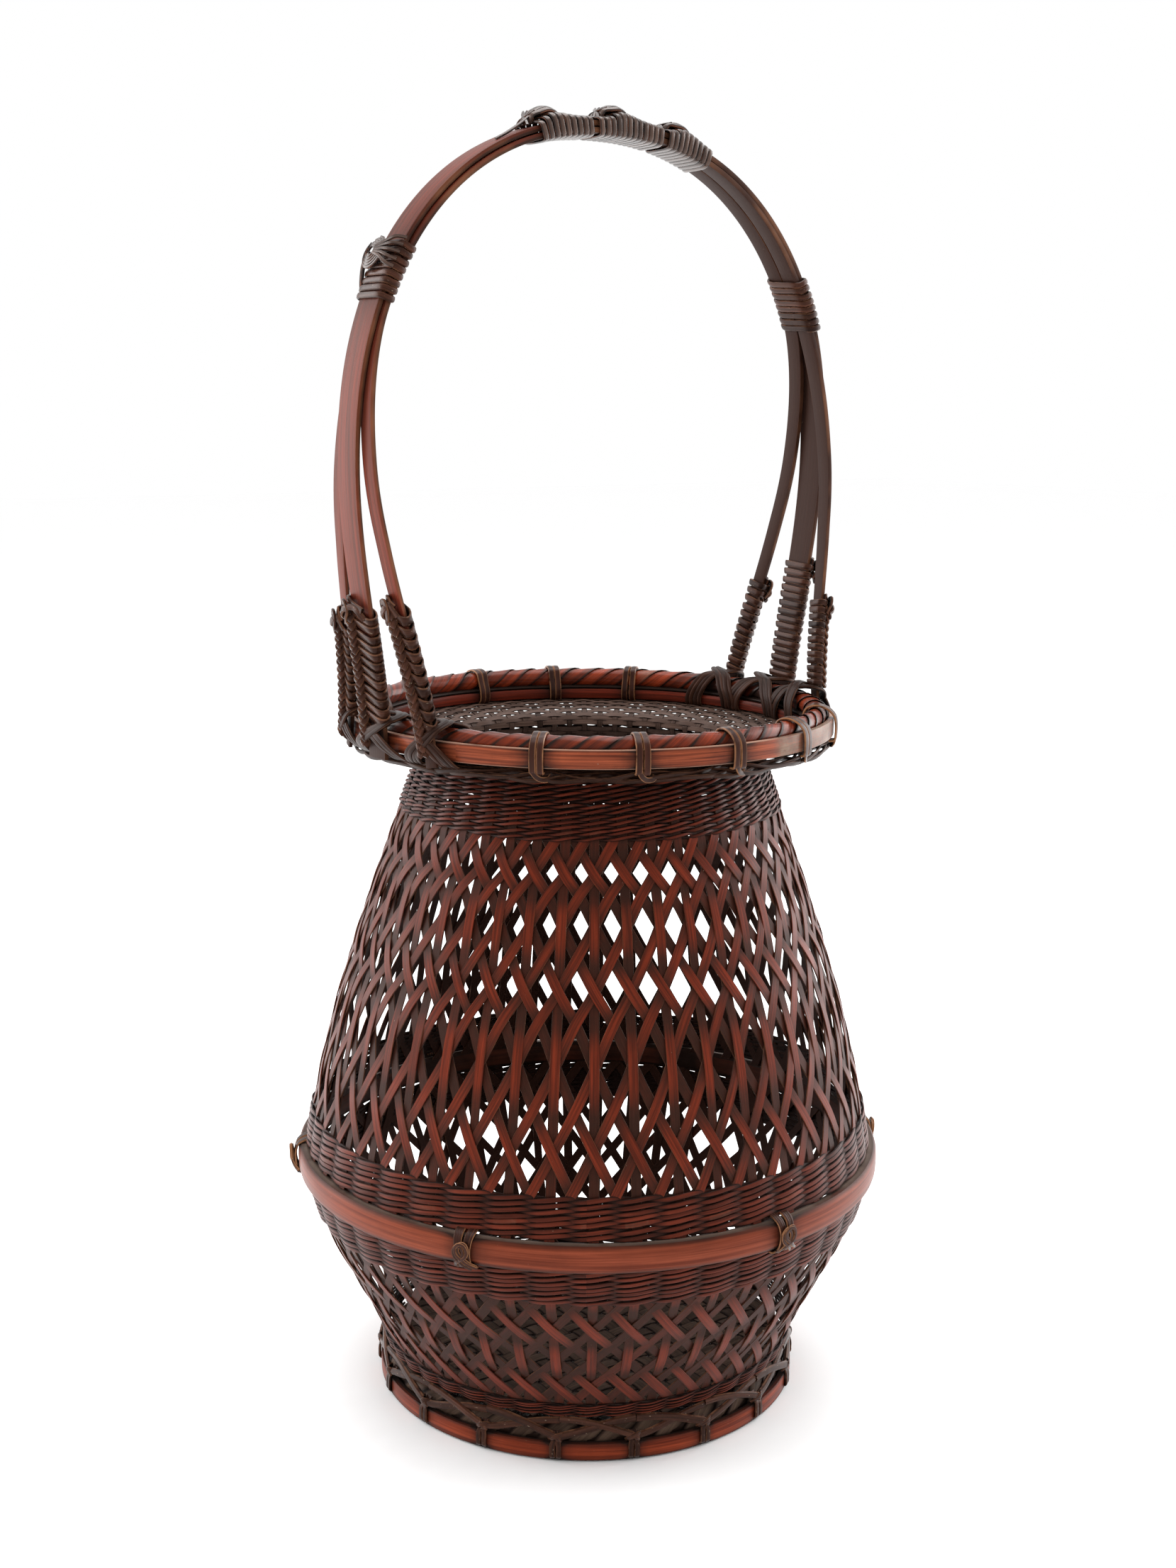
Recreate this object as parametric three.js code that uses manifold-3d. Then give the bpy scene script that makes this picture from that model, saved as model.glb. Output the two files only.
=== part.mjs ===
// Ikebana basket of split bamboo and rattan: an openwork bowl on a hooped foot, a bound rim and a tall
// handle of three strips, bound together at the crown and shoulders and lashed to the rim at six feet.
// Millimetres, +Z up. The origin is on the floor at the centre of the foot, and the handle spans X.
import * as THREE from 'three';
import { mergeVertices } from 'three/addons/utils/BufferGeometryUtils.js';
import Module from 'manifold-3d';

const wasm = await Module();
wasm.setup();

// Driving dimensions, fits
const clearance = 0.3;
const slack = 0.1;
const ringSegments = 32;
const rollSides = 8;

// Driving dimensions, foot
const footRadius = 76.7;
const footHoopHeight = 6.2;
const footHoopThickness = 2.4;
const footRollWidth = 7.6;
const footRollHeight = 11;
const footRollLift = 0.4;
const footTieCount = 18;
const footTieTurn = 6.5;
const footTieWidth = 3.8;
const footTieThickness = 1.0;
const footKnotRadius = 1.7;
const footKnotSides = 6;
const footLaceRadius = 0.9;
const footLaceRise = 4.2;
const footLaceSpread = 0.5;
const footLaceOut = 0.9;

// Driving dimensions, woven body
const bowlBottomRadius = 73.6;
const bowlBottomSlope = 0.25;
const bowlHeight = 75;
const beltRadius = 103;
const shoulderSlope = -0.12;
const shoulderHeight = 145.3;
const neckRadius = 61.3;
const neckSlope = -0.36;
const weaveThickness = 2.8;
const openingRows = 4;
const openingWidth = 0.6;
const openingHeight = 0.7;
const matThickness = 2.2;

// Driving dimensions, twined bands and belt
const bandThickness = 1.3;
const lowerBandWidth = 13;
const upperBandWidth = 13.8;
const neckBandWidth = 18.4;
const neckBandLap = 0.6;
const beltWidth = 9.9;
const beltBelow = 5.94;
const beltBulge = 3;
const beltLowerEdge = 0.8;
const beltUpperEdge = -0.7;
const beltSeatThickness = 1.6;
const beltKnotCount = 6;
const beltKnotTurn = 32;
const beltKnotWidth = 4.4;
const beltKnotThickness = 1.0;
const beltKnotRadius = 2.0;

// Driving dimensions, rim
const rimRadius = 85.8;
const rimTop = 247.3;
const rimHoopHeight = 6.3;
const rimHoopThickness = 2;
const rollRadius = 3.6;
const innerHoopHeight = 3.6;
const innerHoopThickness = 2.2;
const uprightThickness = 2.1;
const uprightInset = 0.7;
const flareThickness = 1.2;
const rimTieCount = 16;
const rimTieTurn = -2.4;
const rimTieWidth = 4.6;
const tieThickness = 1.1;
const underLaceRadius = 0.9;
const underLaceInset = 3.6;

// Driving dimensions, handle
const crownHeight = 444.4;
const archSpring = 335;
const archHalfWidth = 98.2;
const archSquareness = 2.2;
const archFootHeight = 238.5;
const archFootLean = 0.03;
const crownForward = 5;
const feetForward = 1.5;
const centreStripWidth = 12;
const centreFootWidth = 9.6;
const sideStripWidth = 6.8;
const sideFootWidth = 4.4;
const stripThickness = 2;
const fanSweep = 1.2;
const stackedShare = 0.5;
const legSpread = 17.5;

// Driving dimensions, rattan bindings
const strandThickness = 1.1;
const lashingStrandWidth = 2.3;
const centreLashingTurns = 12;
const sideLashingTurns = 10;
const lashingLift = 6.3;
const lashingHeights = { left: [35.2, 37, 29.9], right: [28.1, 40.4, 32] };
const chainRadius = 1.4;
const crossWidth = 2.6;
const crossSpread = 0.7;
const crossRise = 0.8;
const crownStrandWidth = 1.7;
const crownGroups = { left: [-0.301, -0.086, 8], middle: [-0.063, 0.212, 11], right: [0.234, 0.422, 8] };
const shoulderStrandWidth = 1.75;
const shoulderTurns = 8;
const shoulderBindingHeight = 18;
const leftShoulderShare = 0.63;
const rightShoulderShare = 0.585;
const crownKnotPlaces = [-0.255, 0.026, 0.293];
const crownKnotLength = 12;
const crownKnotWidth = 8;
const crownKnotHeight = 3.6;
const crownCordRadius = 0.7;

// Finishes
const colours = {
  redBamboo: 0x8a3a22,
  brownBamboo: 0x5c3228,
  smokedBamboo: 0x3a2a26,
  rattan: 0x35251f,
};
const finish = (color, roughness) => {
  return new THREE.MeshStandardMaterial({ color, roughness, metalness: 0 });
};
const redBamboo = () => finish(colours.redBamboo, 0.35);
const brownBamboo = () => finish(colours.brownBamboo, 0.4);
const smokedBamboo = () => finish(colours.smokedBamboo, 0.55);
const rattan = () => finish(colours.rattan, 0.42);

// Small helpers
const radians = (degrees) => (degrees * Math.PI) / 180;
const vector = (x, y, z) => new THREE.Vector3(x, y, z);
const around = (radius, degrees, z) => {
  return vector(radius * Math.cos(radians(degrees)), radius * Math.sin(radians(degrees)), z);
};
const steps = (count, from, to) => {
  return Array.from({ length: count + 1 }, (_, i) => from + ((to - from) * i) / count);
};

function hermite(z, z0, r0, slope0, z1, r1, slope1) {
  const t = (z - z0) / (z1 - z0);
  const span = z1 - z0;
  const a = 2 * t ** 3 - 3 * t ** 2 + 1;
  const b = t ** 3 - 2 * t ** 2 + t;
  const c = -2 * t ** 3 + 3 * t ** 2;
  const d = t ** 3 - t ** 2;
  return a * r0 + b * span * slope0 + c * r1 + d * span * slope1;
}

function signedVolume(geometry) {
  const points = geometry.getAttribute('position');
  const index = geometry.getIndex();
  const corner = (i) => new THREE.Vector3().fromBufferAttribute(points, index ? index.getX(i) : i);
  const count = index ? index.count : points.count;
  let volume = 0;
  for (let i = 0; i < count; i += 3) {
    volume += corner(i).dot(corner(i + 1).cross(corner(i + 2))) / 6;
  }
  return volume;
}

// Turns a closed shape the right way out
function facingOut(geometry) {
  if (signedVolume(geometry) < 0) {
    const index = geometry.getIndex();
    for (let i = 0; i < index.count; i += 3) {
      const second = index.getX(i + 1);
      index.setX(i + 1, index.getX(i + 2));
      index.setX(i + 2, second);
    }
  }
  return geometry;
}

// A ring turned about Z from a closed outline of [radius, height] points
function turned(outline, segments = ringSegments) {
  const points = [...outline, outline[0]].map(([r, z]) => new THREE.Vector2(r, z));
  const geometry = new THREE.LatheGeometry(points, segments);
  geometry.rotateX(Math.PI / 2);
  return facingOut(geometry);
}

// A skin over equal rings of points, capped at both ends or closed on itself
function skin(rings, closed = false) {
  const sides = rings[0].length;
  const positions = rings.flat().flatMap((p) => [p.x, p.y, p.z]);
  const index = [];
  const last = closed ? rings.length : rings.length - 1;
  for (let i = 0; i < last; i += 1) {
    const a = i * sides;
    const b = ((i + 1) % rings.length) * sides;
    for (let j = 0; j < sides; j += 1) {
      const k = (j + 1) % sides;
      index.push(a + j, b + j, b + k, a + j, b + k, a + k);
    }
  }
  if (!closed) {
    const end = (rings.length - 1) * sides;
    for (let j = 1; j < sides - 1; j += 1) {
      index.push(0, j, j + 1, end, end + j + 1, end + j);
    }
  }
  const geometry = new THREE.BufferGeometry();
  geometry.setAttribute('position', new THREE.Float32BufferAttribute(positions, 3));
  geometry.setIndex(index);
  return facingOut(geometry);
}

function tangents(points, closed = false) {
  return points.map((p, i) => {
    const before = points[closed ? (i - 1 + points.length) % points.length : Math.max(i - 1, 0)];
    const after = points[closed ? (i + 1) % points.length : Math.min(i + 1, points.length - 1)];
    return after.clone().sub(before).normalize();
  });
}

// Rings of a flat strip: across[i] is the direction of its width at each point
function stripRings(points, across, widths, thickness) {
  const along = tangents(points);
  return points.map((p, i) => {
    const width = across[i].clone().addScaledVector(along[i], -across[i].dot(along[i])).normalize();
    const depth = along[i].clone().cross(width).normalize();
    const corner = (a, b) => {
      return p.clone().addScaledVector(width, a * widths[i]).addScaledVector(depth, b * thickness);
    };
    return [corner(-0.5, -0.5), corner(0.5, -0.5), corner(0.5, 0.5), corner(-0.5, 0.5)];
  });
}

// Rings of a round cord with the given radius at each point
function cordRings(points, radii, sides, up, closed = false) {
  const along = tangents(points, closed);
  return points.map((p, i) => {
    const side = along[i].clone().cross(up[i]).normalize();
    const top = side.clone().cross(along[i]).normalize();
    return Array.from({ length: sides }, (_, k) => {
      const angle = (2 * Math.PI * (k + 0.5)) / sides;
      const out = side.clone().multiplyScalar(Math.cos(angle)).addScaledVector(top, Math.sin(angle));
      return p.clone().addScaledVector(out, radii[i]);
    });
  });
}

// An outline of [radius, height] points, given a width along the ring and set at an azimuth
function standing(outline, width, degrees) {
  const shape = new THREE.Shape(outline.map(([r, z]) => new THREE.Vector2(r, z)));
  const geometry = new THREE.ExtrudeGeometry(shape, { depth: width, bevelEnabled: false, steps: 1 });
  geometry.translate(0, 0, -width / 2);
  geometry.rotateX(Math.PI / 2);
  geometry.rotateZ(radians(degrees));
  return geometry;
}

// A bent strap cut from an outline along a path in the [radius, height] plane, set at an azimuth
function strap(path, thickness, width, degrees) {
  const points = path.map(([r, z]) => new THREE.Vector2(r, z));
  const sideOf = (i, sign) => {
    const before = points[Math.max(i - 1, 0)];
    const after = points[Math.min(i + 1, points.length - 1)];
    const first = points[i].clone().sub(before);
    const second = after.clone().sub(points[i]);
    const normals = [first, second].filter((v) => v.length() > 0).map((v) => {
      return new THREE.Vector2(-v.y, v.x).normalize();
    });
    const middle = normals[0].clone().add(normals[normals.length - 1]).normalize();
    const reach = (sign * thickness) / 2 / middle.dot(normals[0]);
    return points[i].clone().addScaledVector(middle, reach);
  };
  const outline = points.map((_, i) => sideOf(i, 1)).concat(points.map((_, i) => sideOf(i, -1)).reverse());
  return standing(outline.map(({ x, y }) => [x, y]), width, degrees);
}

// Solids for the pieces that are joined from several shapes
function solid(geometry) {
  const bare = geometry.clone();
  bare.deleteAttribute('normal');
  bare.deleteAttribute('uv');
  const merged = mergeVertices(bare, 1e-4);
  const vertProperties = new Float32Array(merged.getAttribute('position').array);
  const triVerts = new Uint32Array(merged.getIndex().array);
  return new wasm.Manifold(new wasm.Mesh({ numProp: 3, vertProperties, triVerts }));
}

function joined(geometries) {
  const [first, ...rest] = geometries.map(solid);
  const mesh = rest.reduce((whole, next) => whole.add(next), first).getMesh();
  const geometry = new THREE.BufferGeometry();
  geometry.setAttribute('position', new THREE.Float32BufferAttribute(mesh.vertProperties, 3));
  geometry.setIndex(Array.from(mesh.triVerts));
  return geometry;
}

// An egg-shaped knot, long, wide and high in its own frame
function knot(centre, along, wide, high, size, detail) {
  const geometry = new THREE.IcosahedronGeometry(1, detail);
  const frame = new THREE.Matrix4().makeBasis(along, wide, high).setPosition(centre);
  geometry.scale(size[0] / 2, size[1] / 2, size[2] / 2);
  geometry.applyMatrix4(frame);
  return facingOut(mergeVertices(geometry.deleteAttribute('normal').deleteAttribute('uv'), 1e-4));
}

const basket = new THREE.Group();
function place(name, geometry, material) {
  const mesh = new THREE.Mesh(geometry, material);
  mesh.name = name;
  basket.add(mesh);
}

// Heights and radii that follow from the driving dimensions
const footRollRadius = footRadius - footHoopThickness - clearance - footRollWidth / 2;
const bowlBottom = footRollLift + footRollHeight + clearance;
const beltHeight = bowlBottom + bowlHeight;
const neckHeight = beltHeight + shoulderHeight;
const beltBottom = beltHeight - beltBelow;
const beltTop = beltBottom + beltWidth;
const lowerBandBottom = beltBottom - clearance - lowerBandWidth;
const upperBandTop = beltTop + clearance + upperBandWidth;
const neckBandTop = neckHeight + neckBandLap;
const neckBandBottom = neckBandTop - neckBandWidth;
const bandSeat = bandThickness + clearance;

const rollCentreRadius = rimRadius - rimHoopThickness - clearance - rollRadius;
const rollCentreHeight = rimTop;
const uprightOuter = rollCentreRadius - uprightInset;
const uprightInner = uprightOuter - uprightThickness;
const uprightTop = rollCentreHeight - rollRadius - clearance;
const innerHoopOuter = uprightInner - clearance;
const innerHoopInner = innerHoopOuter - innerHoopThickness;
const innerHoopTop = uprightTop;
const innerHoopBottom = innerHoopTop - innerHoopHeight;
const flareTop = innerHoopBottom - clearance;
const rimHoopBottom = rimTop - rimHoopHeight;
const innerHoopFlat = innerHoopInner * Math.cos(Math.PI / ringSegments);

function bodyRadius(z) {
  if (z <= beltHeight) {
    return hermite(z, bowlBottom, bowlBottomRadius, bowlBottomSlope, beltHeight, beltRadius, 0);
  }
  const height = Math.min(z, neckHeight);
  return hermite(height, beltHeight, beltRadius, shoulderSlope, neckHeight, neckRadius, neckSlope);
}

// The foot: a hoop outside and a wrapped roll inside it
function footHoop() {
  const inner = footRadius - footHoopThickness;
  return turned([[inner, 0], [footRadius, 0], [footRadius, footHoopHeight], [inner, footHoopHeight]]);
}

function ovalRing(radius, height, halfWidth, halfHeight, sides) {
  return turned(Array.from({ length: sides }, (_, i) => {
    const angle = (2 * Math.PI * i) / sides;
    return [radius + halfWidth * Math.cos(angle), height + halfHeight * Math.sin(angle)];
  }));
}

// One lace runs round the foot, from knot to knot, and holds a strap down the hoop at each knot
function footLacing() {
  const laceRadius = bowlBottomRadius + clearance + footLaceRadius + footLaceOut;
  const knotHeight = footHoopHeight + clearance + slack + footKnotRadius;
  const perTie = 3;
  const count = footTieCount * perTie;
  const points = steps(count, 0, 360).slice(0, count).map((turn, i) => {
    const up = i % perTie === 0 ? 0 : 1;
    return around(laceRadius + up * footLaceSpread, footTieTurn + turn, knotHeight + up * footLaceRise);
  });
  const up = points.map(() => vector(0, 0, 1));
  const lace = skin(cordRings(points, points.map(() => footLaceRadius), 4, up, true), true);
  const inside = footRadius + clearance;
  const outside = inside + footTieThickness;
  const hook = [[inside, clearance], [outside, clearance], [outside, footHoopHeight + clearance + slack]];
  const turnToFlat = 0.2;
  const head = Array.from({ length: footKnotSides - 1 }, (_, i) => {
    const angle = 2 * Math.PI * (i / footKnotSides) + turnToFlat;
    return [laceRadius + footKnotRadius * Math.cos(angle), knotHeight + footKnotRadius * Math.sin(angle)];
  });
  const outline = [...hook, ...head, [inside, footHoopHeight + clearance]];
  const ties = steps(footTieCount, 0, 360).slice(0, footTieCount).map((turn) => {
    return standing(outline, footTieWidth, footTieTurn + turn);
  });
  return joined([lace, ...ties]);
}

// The woven wall between two heights, stepped back where a twined band lies on it
function woven(bottom, top, count, [seatLow, seatHigh]) {
  const step = 0.01;
  const seatAt = (z) => (z >= seatLow && z <= seatHigh ? bandSeat : 0);
  const edges = [seatLow - step, seatLow, seatHigh, seatHigh + step];
  const levels = [...steps(count, bottom, top), ...edges.filter((z) => z > bottom && z < top)];
  levels.sort((a, b) => a - b);
  const outside = levels.map((z) => [bodyRadius(z) - seatAt(z), z]);
  const inside = steps(4, top, bottom).map((z) => [bodyRadius(z) - weaveThickness, z]);
  return turned([...outside, ...inside]);
}

// The woven wall above the belt, plain behind its band and then a net of slanted bars round diamond
// openings, each row of them set half a pitch on from the row below. An opening takes two segments of
// the rings, so that the wall's flats lie along those of the band and the belt round it
function openWoven(bottom, top, seatTop) {
  const step = 0.01;
  const openingCount = ringSegments / 2;
  const pitch = 360 / openingCount;
  const netBottom = seatTop + step;
  const rise = (top - netBottom) / (openingRows + 1);
  const outer = ([turn, z]) => around(bodyRadius(z), turn, z);
  const inner = ([turn, z]) => around(bodyRadius(z) - weaveThickness, turn, z);
  const seat = ([turn, z]) => around(bodyRadius(z) - bandSeat, turn, z);
  const positions = [];
  const face = (corners) => {
    for (let i = 1; i < corners.length - 1; i += 1) {
      [corners[0], corners[i], corners[i + 1]].forEach((p) => positions.push(p.x, p.y, p.z));
    }
  };
  const bothSides = (corners) => {
    face(corners.map(outer));
    face([corners[0], ...corners.slice(1).reverse()].map(inner));
  };

  // Corners of the opening at a column, which may be a half, and a row
  const diamond = (column, row) => {
    const turn = pitch * column;
    const z = netBottom + rise * row;
    const half = (pitch / 2) * openingWidth;
    const tall = rise * openingHeight;
    return { low: [turn, z - tall], right: [turn + half, z], high: [turn, z + tall], left: [turn - half, z] };
  };
  for (let row = 1; row <= openingRows; row += 1) {
    for (let i = 0; i < openingCount; i += 1) {
      const column = i + (row % 2) / 2;
      const here = diamond(column, row);
      const next = diamond(column + 1, row);
      const above = diamond(column + 0.5, row + 1);
      const aboveLeft = diamond(column - 0.5, row + 1);
      const below = diamond(column + 0.5, row - 1);
      const edge = (z) => [1, 0, 2].map((halves) => [pitch * (column + halves / 2), z]);
      const corners = [here.low, here.right, here.high, here.left];
      corners.forEach((corner, k) => {
        const after = corners[(k + 1) % corners.length];
        face([outer(corner), outer(after), inner(after), inner(corner)]);
      });
      if (row < openingRows) {
        bothSides([here.right, above.low, above.left, here.high]);
        bothSides([here.left, here.high, aboveLeft.right, aboveLeft.low]);
      }
      if (row === 1) {
        const [middle, start, end] = edge(netBottom);
        bothSides([middle, end, next.low, next.left, above.low, here.right, here.low, start]);
      } else if (row === openingRows) {
        const [middle, start, end] = edge(top);
        bothSides([middle, start, here.high, here.right, below.high, next.left, next.high, end]);
      } else {
        bothSides([here.right, below.high, next.left, above.low]);
      }
    }
  }

  // The plain rings under the net and its two rims
  for (let i = 0; i < ringSegments; i += 1) {
    const here = (pitch / 2) * i;
    const next = (pitch / 2) * (i + 1);
    const band = (from, low, to, high) => {
      face([from([here, low]), from([next, low]), to([next, high]), to([here, high])]);
    };
    band(inner, bottom, seat, bottom);
    band(seat, bottom, seat, seatTop);
    band(seat, seatTop, outer, netBottom);
    band(inner, netBottom, inner, bottom);
    band(outer, top, inner, top);
  }
  const geometry = new THREE.BufferGeometry();
  geometry.setAttribute('position', new THREE.Float32BufferAttribute(positions, 3));
  return facingOut(mergeVertices(geometry, 1e-4));
}

function twinedBand(bottom, top, count) {
  const outside = steps(count, bottom, top).map((z) => [bodyRadius(z), z]);
  const inside = steps(count, top, bottom).map((z) => [bodyRadius(z) - bandThickness, z]);
  return turned([...outside, ...inside]);
}

function baseMat() {
  const radius = bodyRadius(bowlBottom) - weaveThickness - clearance;
  const top = bowlBottom + matThickness;
  return turned([[0, bowlBottom], [radius, bowlBottom], [radius, top], [0, top]]);
}

// The belt is a rounded strip bent round the widest part: [share of the bulge, share of the width]
function beltHoop() {
  const seat = beltRadius - beltSeatThickness + clearance;
  const roundFace = [[0.9, 0.28], [0.75, 0.68]].map(([out, up]) => {
    return [beltRadius + beltBulge * out, beltBottom + beltWidth * up];
  });
  const lower = [[seat, beltBottom], [beltRadius + beltLowerEdge, beltBottom]];
  return turned([...lower, ...roundFace, [beltRadius + beltUpperEdge, beltTop], [seat, beltTop]]);
}

// A strap bent round the belt at each knot, with the knot on its face
function beltKnot(degrees) {
  const gap = clearance + beltKnotThickness / 2;
  const face = beltRadius + beltBulge + gap;
  const shoulder = beltWidth * 0.3;
  const path = [
    [beltRadius + beltLowerEdge, beltBottom - gap], [face - beltKnotThickness, beltBottom - gap],
    [face, beltBottom + shoulder], [face, beltTop - shoulder],
    [beltRadius + beltUpperEdge + beltKnotThickness, beltTop + gap + clearance],
  ];
  const outward = around(1, degrees, 0);
  const along = vector(-outward.y, outward.x, 0);
  const centre = around(face + clearance, degrees, beltBottom + beltWidth / 2);
  const size = [beltKnotRadius * 2.6, beltKnotRadius * 1.5, beltKnotRadius * 2];
  return joined([
    strap(path, beltKnotThickness, beltKnotWidth, degrees),
    knot(centre, along, outward.negate(), vector(0, 0, 1), size, 0),
  ]);
}

// The neck wall flares out under the rim and stands up between its hoops
function neckWall() {
  const bend = [30, 60, 90];
  const low = neckBandBottom + slack;
  const outerNeck = neckRadius - bandSeat;
  const innerNeck = neckRadius - weaveThickness;
  const neckTop = neckHeight + clearance;
  const flareBottom = flareTop - flareThickness;
  const curve = (r0, r1, z0, z1) => bend.map((angle) => {
    return [r0 + (r1 - r0) * (1 - Math.cos(radians(angle))), z0 + (z1 - z0) * Math.sin(radians(angle))];
  });
  const outside = steps(2, low, neckTop).map((z) => [bodyRadius(z) - bandSeat, z]);
  const under = curve(outerNeck, uprightOuter, neckTop, flareBottom);
  const over = curve(innerNeck, uprightInner, neckTop, flareTop).reverse();
  const inside = steps(2, neckTop, low).map((z) => [bodyRadius(z) - weaveThickness, z]);
  const lip = [[uprightOuter, uprightTop], [uprightInner, uprightTop]];
  return turned([...outside, ...under, ...lip, ...over, ...inside]);
}

// The rim: an outer hoop, an inner hoop and a wrapped roll on top, between them
function rimHoop(inner, outer, bottom, top) {
  return turned([[inner, bottom], [outer, bottom], [outer, top], [inner, top]]);
}

function rimTie(degrees) {
  const gap = clearance + tieThickness / 2;
  const face = rimRadius + gap;
  const under = rimHoopBottom - gap;
  const reach = rollRadius + gap + clearance / 2;
  const overRoll = [45, 90, 135, 180].map(radians).map((angle) => {
    return [rollCentreRadius + reach * Math.cos(angle), rollCentreHeight + reach * Math.sin(angle)];
  });
  const inside = innerHoopFlat - gap;
  const path = [
    [uprightOuter + tieThickness, under], [face, under], [face, rimTop + gap], ...overRoll,
    [inside, innerHoopTop + gap], [inside, innerHoopBottom + slack],
  ];
  return strap(path, tieThickness, rimTieWidth, degrees);
}

// Strands laced round under the outer hoop, from tie to tie
function underLacing() {
  const height = rimHoopBottom - 2 * clearance - tieThickness - underLaceRadius - slack;
  return ovalRing(rimRadius - underLaceInset, height, underLaceRadius, underLaceRadius, 4);
}

// The handle's arch: a strip's middle line at a height, on the right-hand side.
// A strip is 1 at the back, 0 in the centre and -1 in front. A side is 1 on the right and -1 on the left.
const archFootRadius = rimRadius + clearance + slack + stripThickness / 2;
const archRise = crownHeight - archSpring;
const footY = (strip) => strip * archFootRadius * Math.sin(radians(legSpread)) - feetForward;
const footX = (strip) => Math.sqrt(archFootRadius ** 2 - footY(strip) ** 2);
function archX(z, strip) {
  if (z < archSpring) {
    return hermite(z, archFootHeight, footX(strip), archFootLean, archSpring, archHalfWidth, 0);
  }
  const rise = Math.min((z - archSpring) / archRise, 1);
  return archHalfWidth * (1 - rise ** archSquareness) ** (1 / archSquareness);
}

// How far the strips have fanned out, from 0 under the shoulder bindings to 1 at the feet
const leftShoulderTop = archSpring + leftShoulderShare * archRise;
const rightShoulderTop = archSpring + rightShoulderShare * archRise;
const fanStart = Math.min(leftShoulderTop, rightShoulderTop) - shoulderBindingHeight - clearance;
const fan = (z) => Math.min(Math.max((fanStart - z) / (fanStart - archFootHeight), 0), 1);
const sideOffset = (sideStripWidth + clearance) / 2;
function archY(z, strip) {
  const plane = -crownForward + (crownForward - feetForward) * fan(z);
  const spread = archFootRadius * Math.sin(radians(legSpread));
  return plane + strip * (sideOffset + (spread - sideOffset) * fan(z) ** fanSweep);
}

// The side strips lie on the inner face of the centre strip and leave it as they fan out
const stackStep = stripThickness + clearance;
function stripPoint(z, strip, side) {
  const stacked = strip === 0 ? 0 : stackStep * Math.min((1 - fan(z)) / (1 - stackedShare), 1);
  const outward = vector(1, 0, 0);
  if (z > archSpring) {
    const power = archSquareness - 1;
    const rise = Math.min((z - archSpring) / archRise, 1);
    const level = archX(z, strip) / archHalfWidth;
    outward.set(level ** power / archHalfWidth, 0, rise ** power / archRise).normalize();
  }
  return vector(side * (archX(z, strip) - stacked * outward.x), archY(z, strip), z - stacked * outward.z);
}

// The direction of a strip's width turns with its foot, to lie flat on the hoop
function stripAcross(z, strip, side) {
  const twist = Math.asin(footY(strip) / archFootRadius) * fan(z) ** 2;
  return vector(-side * Math.sin(twist), Math.cos(twist), 0);
}

function stripFrame(z, strip, side) {
  const nudge = 0.5;
  const above = stripPoint(Math.min(z + nudge, crownHeight), strip, side);
  const along = above.sub(stripPoint(z - nudge, strip, side)).normalize();
  const across = stripAcross(z, strip, side);
  across.addScaledVector(along, -across.dot(along)).normalize();
  const outward = across.clone().cross(along).multiplyScalar(side).normalize();
  return { point: stripPoint(z, strip, side), along, across, outward };
}

function stripLevels() {
  const leg = steps(7, archFootHeight, archSpring);
  const arch = steps(11, 8, 90).map((angle) => {
    return archSpring + archRise * Math.sin(radians(angle)) ** (2 / archSquareness);
  });
  return [...leg, ...arch];
}

function handleStrip(strip) {
  const full = strip === 0 ? centreStripWidth : sideStripWidth;
  const foot = strip === 0 ? centreFootWidth : sideFootWidth;
  const levels = stripLevels();
  const left = levels.map((z) => ({ z, side: -1 }));
  const right = levels.slice(0, -1).map((z) => ({ z, side: 1 })).reverse();
  const stations = [...left, ...right];
  const points = stations.map(({ z, side }) => stripPoint(z, strip, side));
  const across = stations.map(({ z, side }) => stripAcross(z, strip, side));
  const widths = stations.map(({ z }) => full + (foot - full) * fan(z));
  return skin(stripRings(points, across, widths, stripThickness));
}

// A half-round strand wound round a flat bar, with eight points a turn
const cornerCut = 0.55;
const cornerLean = 0.4;
function wound(name, frameAt, [from, to], turns, [halfWidth, halfThickness], strandWidth) {
  const gap = clearance + strandThickness / 2;
  const [a, b, cut] = [halfWidth + gap, halfThickness + gap, cornerCut];
  const corners = [
    [a - cut, b], [cut - a, b], [-a, b - cut], [-a, cut - b],
    [cut - a, -b], [a - cut, -b], [a, cut - b], [a, b - cut],
  ];
  const count = turns * corners.length + 1;
  const rings = [];
  for (let i = 0; i <= count; i += 1) {
    const { point, along, across, outward } = frameAt(from + ((to - from) * i) / count);
    const [u0, v0] = corners[i % corners.length];
    const centre = point.clone().addScaledVector(across, u0).addScaledVector(outward, v0);
    const sideways = Math.sign(u0) * (Math.abs(u0) === a ? 1 : cornerLean);
    const upright = Math.sign(v0) * (Math.abs(v0) === b ? 1 : cornerLean);
    const out = across.clone().multiplyScalar(sideways).addScaledVector(outward, upright).normalize();
    const at = (u, v) => {
      const [aside, up] = [u * strandWidth, v * strandThickness];
      return centre.clone().addScaledVector(along, aside).addScaledVector(out, up);
    };
    rings.push([at(-0.5, -0.5), at(0.5, -0.5), at(0, 0.5)]);
  }
  let least = Infinity;
  rings.forEach((ring, i) => rings.slice(i + 3).forEach((other) => ring.forEach((p) => other.forEach((q) => {
    least = Math.min(least, p.distanceTo(q));
  }))));
  console.log(`${name}: ${turns} turns, least gap to itself ${least.toFixed(2)} mm`);
  return skin(rings);
}

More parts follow.
